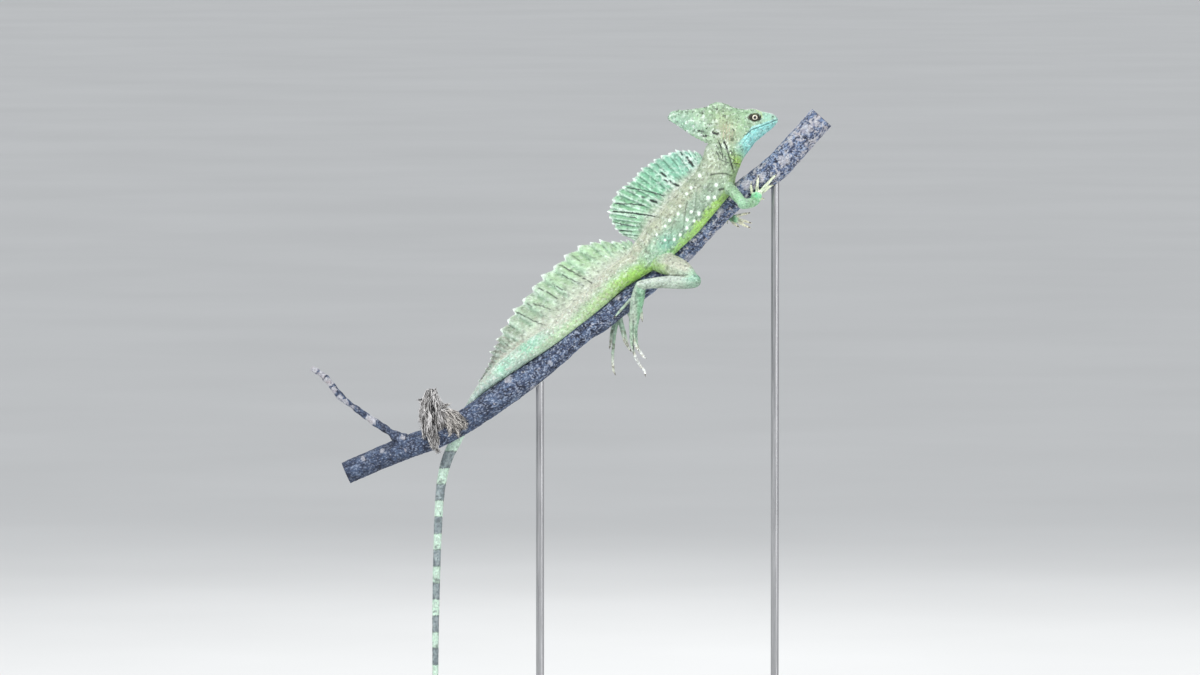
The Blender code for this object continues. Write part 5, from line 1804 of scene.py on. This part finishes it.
def make_lids(material):
    for side, name in ((-1, "lids_right"), (1, "lids_left")):
        rings = [
            lid_ring(side, 3.75, 3.05, 0.35, 0.55),
            lid_ring(side, 4.6, 3.9, 0.75, 0.5, 0.1),
        ]
        points, faces = join_parts(rings)
        item = piece_from(name, points, faces, material)
        away = np.hypot((points[:, 0] - EYE[0]) / 4.4, (points[:, 2] - EYE[1]) / 3.6)
        colour = ramped(away, LID_DARK_AND_SHADOW_TONES)
        above = soft(np.abs(points[:, 2] - EYE[1]), 1.6, 2.8) * soft(wobble(points, 1.3, 93), -0.4, 0.3)
        set_marks(item, lay(colour, (0.45, 0.50, 0.27), 0.7 * above))


def claw(path, radius):
    """A curved claw over a digit's last stretch."""
    back = unit(path[-1] - path[-2])
    start = path[-1] - back * CLAW_LENGTH
    down = unit(np.array([0.0, 0.0, -1.0]) - back * back[2] + 1e-6)
    steps = np.linspace(0, 1, CLAW_STEPS)
    bow = CLAW_BOW * np.sin(steps * math.pi) - CLAW_BOW * steps ** 2 * 0.6
    bent = start + np.outer(steps * CLAW_LENGTH, back) + np.outer(bow, -down)
    radii = 0.42 * radius * (1 - steps ** 1.4) + 0.04
    return tube(bent, radii, 8)


def make_claws(material):
    for name, (digits, radius) in DIGITS.items():
        points, faces = join_parts([claw(digit_path(path, radius), radius) for path in digits])
        item = piece_from("claws_" + name, points, faces, material)
        shade = 0.5 + 0.5 * wobble(points, 1.2, 91)
        set_marks(item, ramped(shade, [(0, (0.20, 0.17, 0.12)), (1, (0.34, 0.30, 0.22))]))


# Branch, twig and fibres
LICHEN_SPOTS = [
    (-62, 453, 4.5, 0.8),
    (-36, 444, 4, 0.7),
    (-20, 470, 3, 0.6),
    (47, 535, 3, 0.8),
    (99, 557, 5, 0.6),
    (119, 575, 5, 0.6),
    (150, 622, 4, 0.7),
    (176, 648, 6, 0.8),
    (190, 655, 6, 0.8),
    (214, 672, 6, 0.8),
    (236, 704, 7, 0.8),
    (-257, 462.8, 6, 1.0),
    (-249, 457, 5, 1.0),
    (-242, 450, 6, 1.0),
    (-236, 442, 4, 1.0),
    (-230, 434, 4, 0.9),
    (-218, 424.5, 3, 0.8),
    (-199, 412, 6.0, 1.0),
    (-225, 430, 4.0, 0.9),
    (-167.5, 395, 3, 0.9),
    (-188, 382, 2.5, 0.8),
    (-207, 374, 2.5, 0.8),
]
LICHEN_FROM_X = [-200, 60, 150, 220]
LICHEN_LIMITS = [0.75, 0.62, 0.2, 0.05]
# Bark by the height of its relief: partly its own colour, partly painted shade in the grooves
BARK_TONES_AND_SHADE = [
    (-0.6, (0.12, 0.14, 0.19)),
    (-0.15, (0.25, 0.29, 0.38)),
    (0.2, (0.34, 0.40, 0.50)),
    (0.6, (0.50, 0.56, 0.65)),
]
LICHEN_TONES = [(0, (0.60, 0.57, 0.60)), (0.5, (0.76, 0.76, 0.77)), (1, (0.70, 0.66, 0.66))]
# Painted light and shade along the branch: the bark darker toward its lower end and brighter toward its upper
# end, by x
BARK_PAINTED_LIGHT = [
    (-220, (0.70, 0.73, 0.78)),
    (-60, (0.85, 0.88, 0.92)),
    (120, (1.02, 1.03, 1.05)),
    (250, (1.17, 1.17, 1.19)),
]
BARK_GRAIN_X = [-200, 0]
BARK_GRAIN = [0.6, 1.0]


def bark_tube(name, middle, along, radius, sides, material, node):
    """A tube of bark: long ridges and raised lichen, with closed ends; its colour is darker in the grooves,
    partly as painted shade, and has dark specks painted as the shade of small pits.
    """
    turns = ring_turns(sides)
    across = unit(np.cross(along, np.array([[0.0, 1.0, 0.0]])))
    out = ways_round(across, np.cross(across, along), turns)
    surface = middle[:, None, :] + out * radius[:, :, None]
    flat = surface.reshape(-1, 3)
    length = np.cumsum(np.linalg.norm(np.diff(middle, axis=0, prepend=middle[:1]), axis=1))
    turn = np.tile(turns, len(middle))
    long = np.column_stack([np.repeat(length, sides) * 0.3, 9 * np.cos(turn), 9 * np.sin(turn)])
    ridges = wobble(long, 1.7, 101) * 0.28 + wobble(long, 0.8, 102) * 0.16
    lumps = wobble(flat, 6.0, 103) * 0.3 + wobble(flat, 2.0, 104) * 0.2 + wobble(flat, 1.0, 111) * 0.14
    limit = np.interp(flat[:, 0], LICHEN_FROM_X, LICHEN_LIMITS)
    rough = 0.7 * wobble(flat, 4.0, 105) + 0.7 * wobble(flat, 1.3, 106)
    crust = np.clip((rough - limit) / 0.3, 0, 1)
    for x, z, reach, strength in LICHEN_SPOTS:
        near = bell(np.hypot(flat[:, 0] - x, flat[:, 2] - z), reach) * (flat[:, 1] < 6)
        crust = np.maximum(crust, strength * soft(near + 0.3 * wobble(flat, 1.5, 107), 0.35, 0.6))
    height = ridges + lumps - 0.35 + 0.4 * crust + 0.25 * crust * wobble(flat, 0.9, 108)
    slim = np.clip(radius.reshape(-1) / 10.0, 0.3, 1.0)
    surface = surface + out * (height * slim).reshape(radius.shape)[:, :, None]
    points = np.vstack([surface.reshape(-1, 3), middle[0], middle[-1]])
    item = piece_from(name, points, tube_faces(len(middle), sides), material)
    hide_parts(node)
    # Bark colour by relief height, partly painted shade in the grooves, times painted light and shade along
    # the branch
    colour = ramped(ridges + lumps, BARK_TONES_AND_SHADE) * ramped(flat[:, 0], BARK_PAINTED_LIGHT)
    grain = np.interp(flat[:, 0], BARK_GRAIN_X, BARK_GRAIN)
    speck = soft(wobble(flat, 1.1, 110) + 0.5 * wobble(flat, 0.6, 112), 0.1, 0.5)
    colour = lay(colour, (0.74, 0.77, 0.83), 0.72 * speck * grain)
    # Painted shade: dark specks that stand for small pits in the bark
    pits = soft(wobble(flat, 1.3, 113) + 0.5 * wobble(flat, 0.6, 114), 0.15, 0.6)
    colour = lay(colour, (0.05, 0.06, 0.11), 0.8 * pits * grain)
    pale = ramped(0.5 + 0.5 * wobble(flat, 3.0, 109), LICHEN_TONES)
    pale = pale * (1 + 0.12 * wobble(flat, 0.9, 115))[:, None]
    colour = colour + (pale - colour) * (0.85 * crust)[:, None]
    set_marks(item, np.vstack([colour, BARE_WOOD, BARE_WOOD]))


def make_branch(material):
    sides = 120
    places = np.arange(0.0, len(BRANCH) - 1 + 0.0125, 0.0175)
    row = track(BRANCH, places)
    ahead = heading(BRANCH, places)
    middle = np.column_stack([row[:, 0], np.zeros(len(row)), row[:, 1]])
    along = unit(np.column_stack([ahead[:, 0], np.zeros(len(row)), ahead[:, 1]]))
    turns = ring_turns(sides)
    radius = branch_radius(places[:, None], turns[None, :], row[:, 2:3])
    bark_tube("branch", middle, along, radius, sides, material, "perch_branch")


def make_twig(material):
    sides = 40
    places = np.arange(0.0, len(TWIG) - 1 + 0.0125, 0.03)
    row = track(TWIG, places)
    along = unit(heading(TWIG, places)[:, :3])
    turns = ring_turns(sides)
    knots = 0.10 * np.sin(places * 5.1) + 0.08 * np.sin(places * 11.3)
    swell = 0.07 * np.cos(turns[None, :] * 2 + places[:, None] * 3)
    radius = row[:, 3:4] * (1 + knots[:, None] + swell)
    bark_tube("twig", row[:, :3], along, radius, sides, material, "perch_twig")


# Painted shade: the dark gaps of the tuft, sunk and darkened: x, z and reach
TUFT_SHADE_GAPS = [
    (-138.5, 425.5, 3.2),
    (-134, 418, 1.4),
    (-136, 411, 1.6),
    (-137, 430, 1.2),
    (-113, 395, 4.5),
]
TUFT_CORE_TONES = [(0, (0.12, 0.12, 0.12)), (0.55, (0.30, 0.30, 0.30)), (1, (0.52, 0.51, 0.50))]
FIBRE_TONES = [
    (0, (0.20, 0.19, 0.19)),
    (0.3, (0.46, 0.45, 0.44)),
    (0.6, (0.78, 0.77, 0.77)),
    (1, (0.97, 0.96, 0.95)),
]
FIBRE_COUNT = 2200
FIBRE_SEED = 23
TUFT_SWELL = -0.9
TUFT_VOXEL = 1.0
TUFT_ROUNDS = 4
TUFT_EVENING = 0.5
FIBRE_STEPS = 8
FIBRE_TAPER = np.array([0.7, 1.0, 1.0, 0.95, 0.9, 0.75, 0.55, 0.2])
TUFT_TOP = np.array([-138.0, -4.0, 440.0])


def in_shade_gaps(x, z):
    """How far points of the side view lie in the dark gaps of the tuft, which are painted as shade."""
    best = np.zeros(np.shape(x))
    for hole_x, hole_z, reach in TUFT_SHADE_GAPS:
        best = np.maximum(best, 1 - soft(np.hypot(x - hole_x, z - hole_z), reach * 0.8, reach * 1.2))
    return best


def make_tuft(material):
    """A dark core and many fibres that hang over it and stick out at their ends."""
    core, faces, _ = joined_flesh(["perch_tuft"], TUFT_SWELL)
    mesh = remeshed(core, faces, TUFT_VOXEL)
    work = bmesh.new()
    work.from_mesh(mesh)
    keep_largest(work)
    work.to_mesh(mesh)
    work.free()
    points = points_of(mesh)
    edges = edges_of(mesh)
    points = smoothed(points, edges, TUFT_ROUNDS, TUFT_EVENING)
    put_points(mesh, points)
    long = points * np.array([1.0, 1.0, 0.25])
    shade_gaps = in_shade_gaps(points[:, 0], points[:, 2])
    relief = 0.6 * wobble(long, 1.8, 121) + 0.4 * wobble(points, 1.3, 122) - 0.8 * shade_gaps
    put_points(mesh, points + normals_of(mesh) * relief[:, None])
    item = place_object("tuft_core", mesh)
    mesh.shade_smooth()
    dress(item, material)
    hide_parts("perch_tuft")
    tone = 0.5 + 0.5 * wobble(long, 1.6, 123)
    colour = ramped(tone, TUFT_CORE_TONES)
    # The gaps painted near black as shade
    set_marks(item, lay(colour, (0.05, 0.05, 0.06), shade_gaps))
    make_fibres(material, points, normals_of(mesh))


def make_fibres(material, surface, normals):
    chance = np.random.default_rng(FIBRE_SEED)
    tree = point_tree(surface)
    parts = []
    shades = []
    for _ in range(FIBRE_COUNT):
        start = chance.integers(len(surface))
        here = surface[start] + normals[start] * 0.3
        away = here - TUFT_TOP
        way = np.array([away[0] * 0.35, away[1] * 0.4, -16.0 + 0.2 * abs(away[0])])
        way = unit(way + chance.normal(0, 3.6, 3))
        length = chance.uniform(8, 24)
        lift = chance.uniform(0.1, 1.3)
        path = []
        for step in range(FIBRE_STEPS):
            index = tree.find(here)[1]
            out = normals[index]
            target = surface[index] + out * (lift + 0.5 * step / FIBRE_STEPS)
            pull = 0.7 if step < FIBRE_STEPS - 2 else 0.15
            here = here + (target - here) * pull
            path.append(here.copy())
            way = unit(way + chance.normal(0, 0.12, 3) - out * (way @ out) * 0.6 * pull)
            here = here + way * length / FIBRE_STEPS
        path = np.array(path)
        thick = chance.uniform(0.14, 0.36)
        shade = chance.uniform(0, 1)
        if in_shade_gaps(path[:, 0], path[:, 2]).max() > 0.5 and chance.uniform() < 0.8:
            continue
        parts.append(tube(path, thick * FIBRE_TAPER, 4))
        shades.append(np.full(len(parts[-1][0]), shade))
    points, faces = join_parts(parts)
    item = piece_from("tuft_fibres", points, faces, material)
    tone = np.clip(np.concatenate(shades) + 0.15 * wobble(points, 2.0, 124), 0, 1)
    warm = soft(points[:, 0], -127, -121)
    colour = ramped(tone, FIBRE_TONES)
    set_marks(item, colour + (np.array([0.98, 0.97, 0.95]) * colour - colour) * warm[:, None])


# Stage
def make_floor():
    work = bmesh.new()
    bmesh.ops.create_circle(work, cap_ends=True, segments=96, radius=FLOOR_RADIUS)
    mesh = bpy.data.meshes.new("floor")
    work.to_mesh(mesh)
    work.free()
    item = place_object("floor", mesh)
    item.location.z = FLOOR_Z
    mesh.materials.append(toned_material("floor"))


def make_light(name, place, size, power):
    light = bpy.data.lights.new(name, "AREA")
    light.shape = "DISK"
    light.size = size
    light.energy = power
    item = place_object(name, light)
    item.location = place
    item.rotation_mode = "QUATERNION"
    item.rotation_quaternion = (Vector(LIGHT_TARGET) - Vector(place)).to_track_quat("-Z", "Y")


def make_world():
    world = bpy.data.worlds.new("world")
    world.use_nodes = True
    background = world.node_tree.nodes["Background"]
    background.inputs["Color"].default_value = WORLD_COLOUR
    background.inputs["Strength"].default_value = WORLD_STRENGTH
    bpy.context.scene.world = world


def make_camera():
    data = bpy.data.cameras.new("camera")
    data.sensor_width = SENSOR_WIDTH
    data.lens = SENSOR_WIDTH * CAMERA_FAR / PHOTO_WIDTH
    data.clip_end = VIEW_REACH
    item = place_object("camera", data)
    target = Vector((PHOTO_LEFT_X + PHOTO_WIDTH / 2, 0.0, PHOTO_TOP_Z - PHOTO_HEIGHT / 2)) * MM
    rise = math.radians(CAMERA_RISE)
    back = Vector((0.0, -math.cos(rise), math.sin(rise)))
    item.location = target + back * CAMERA_FAR * MM
    item.rotation_mode = "QUATERNION"
    item.rotation_quaternion = (-back).to_track_quat("-Z", "Y")
    bpy.context.scene.camera = item


def build():
    hide, scale, horn, bark, fibre = (marked_material(*look) for look in MARKED_LOOKS)

    skin = make_skin(hide)
    for index, (name, _, spacing, kind) in enumerate(REGIONS):
        found = scatter(skin, spacing, COAT_SEED + index, index)
        coat(name, found, spacing, kind, scale)

    sail = fin("sail", SAIL_KEYS, SAIL_RAYS, 44, 2.6, (3.0, 0.9), 1.2, 0.4, sail_marks, hide, "dorsal_sail")
    fin_coat("coat_sail", sail, SAIL_COAT_SEED, scale)
    tail_look = (36, 4.4, (2.6, 0.8), 0.8, 0.15)
    crest = fin("tail_fin", TAIL_CREST_KEYS, TAIL_CREST_RAYS, *tail_look, tail_fin_marks, hide, "tail_crest")
    fin_coat("coat_tail_fin", crest, TAIL_FIN_COAT_SEED, scale)

    eye = eye_material()
    eyeball("eyeball_right", -1, eye, "eye_right")
    eyeball("eyeball_left", 1, eye, "eye_left")
    make_lids(hide)
    make_claws(horn)

    make_branch(bark)
    make_twig(bark)
    make_tuft(fibre)

    plinth = toned_material("painted_wood")
    steel = toned_material("brushed_steel")
    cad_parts["stand_base"].data.materials[0] = plinth
    for name in ("stand_rod_low", "stand_rod_high"):
        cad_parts[name].data.materials[0] = steel

    make_floor()
    for lamp in LIGHTS:
        make_light(*lamp)
    make_world()
    make_camera()
    bpy.context.scene.view_settings.view_transform = "Standard"


build()
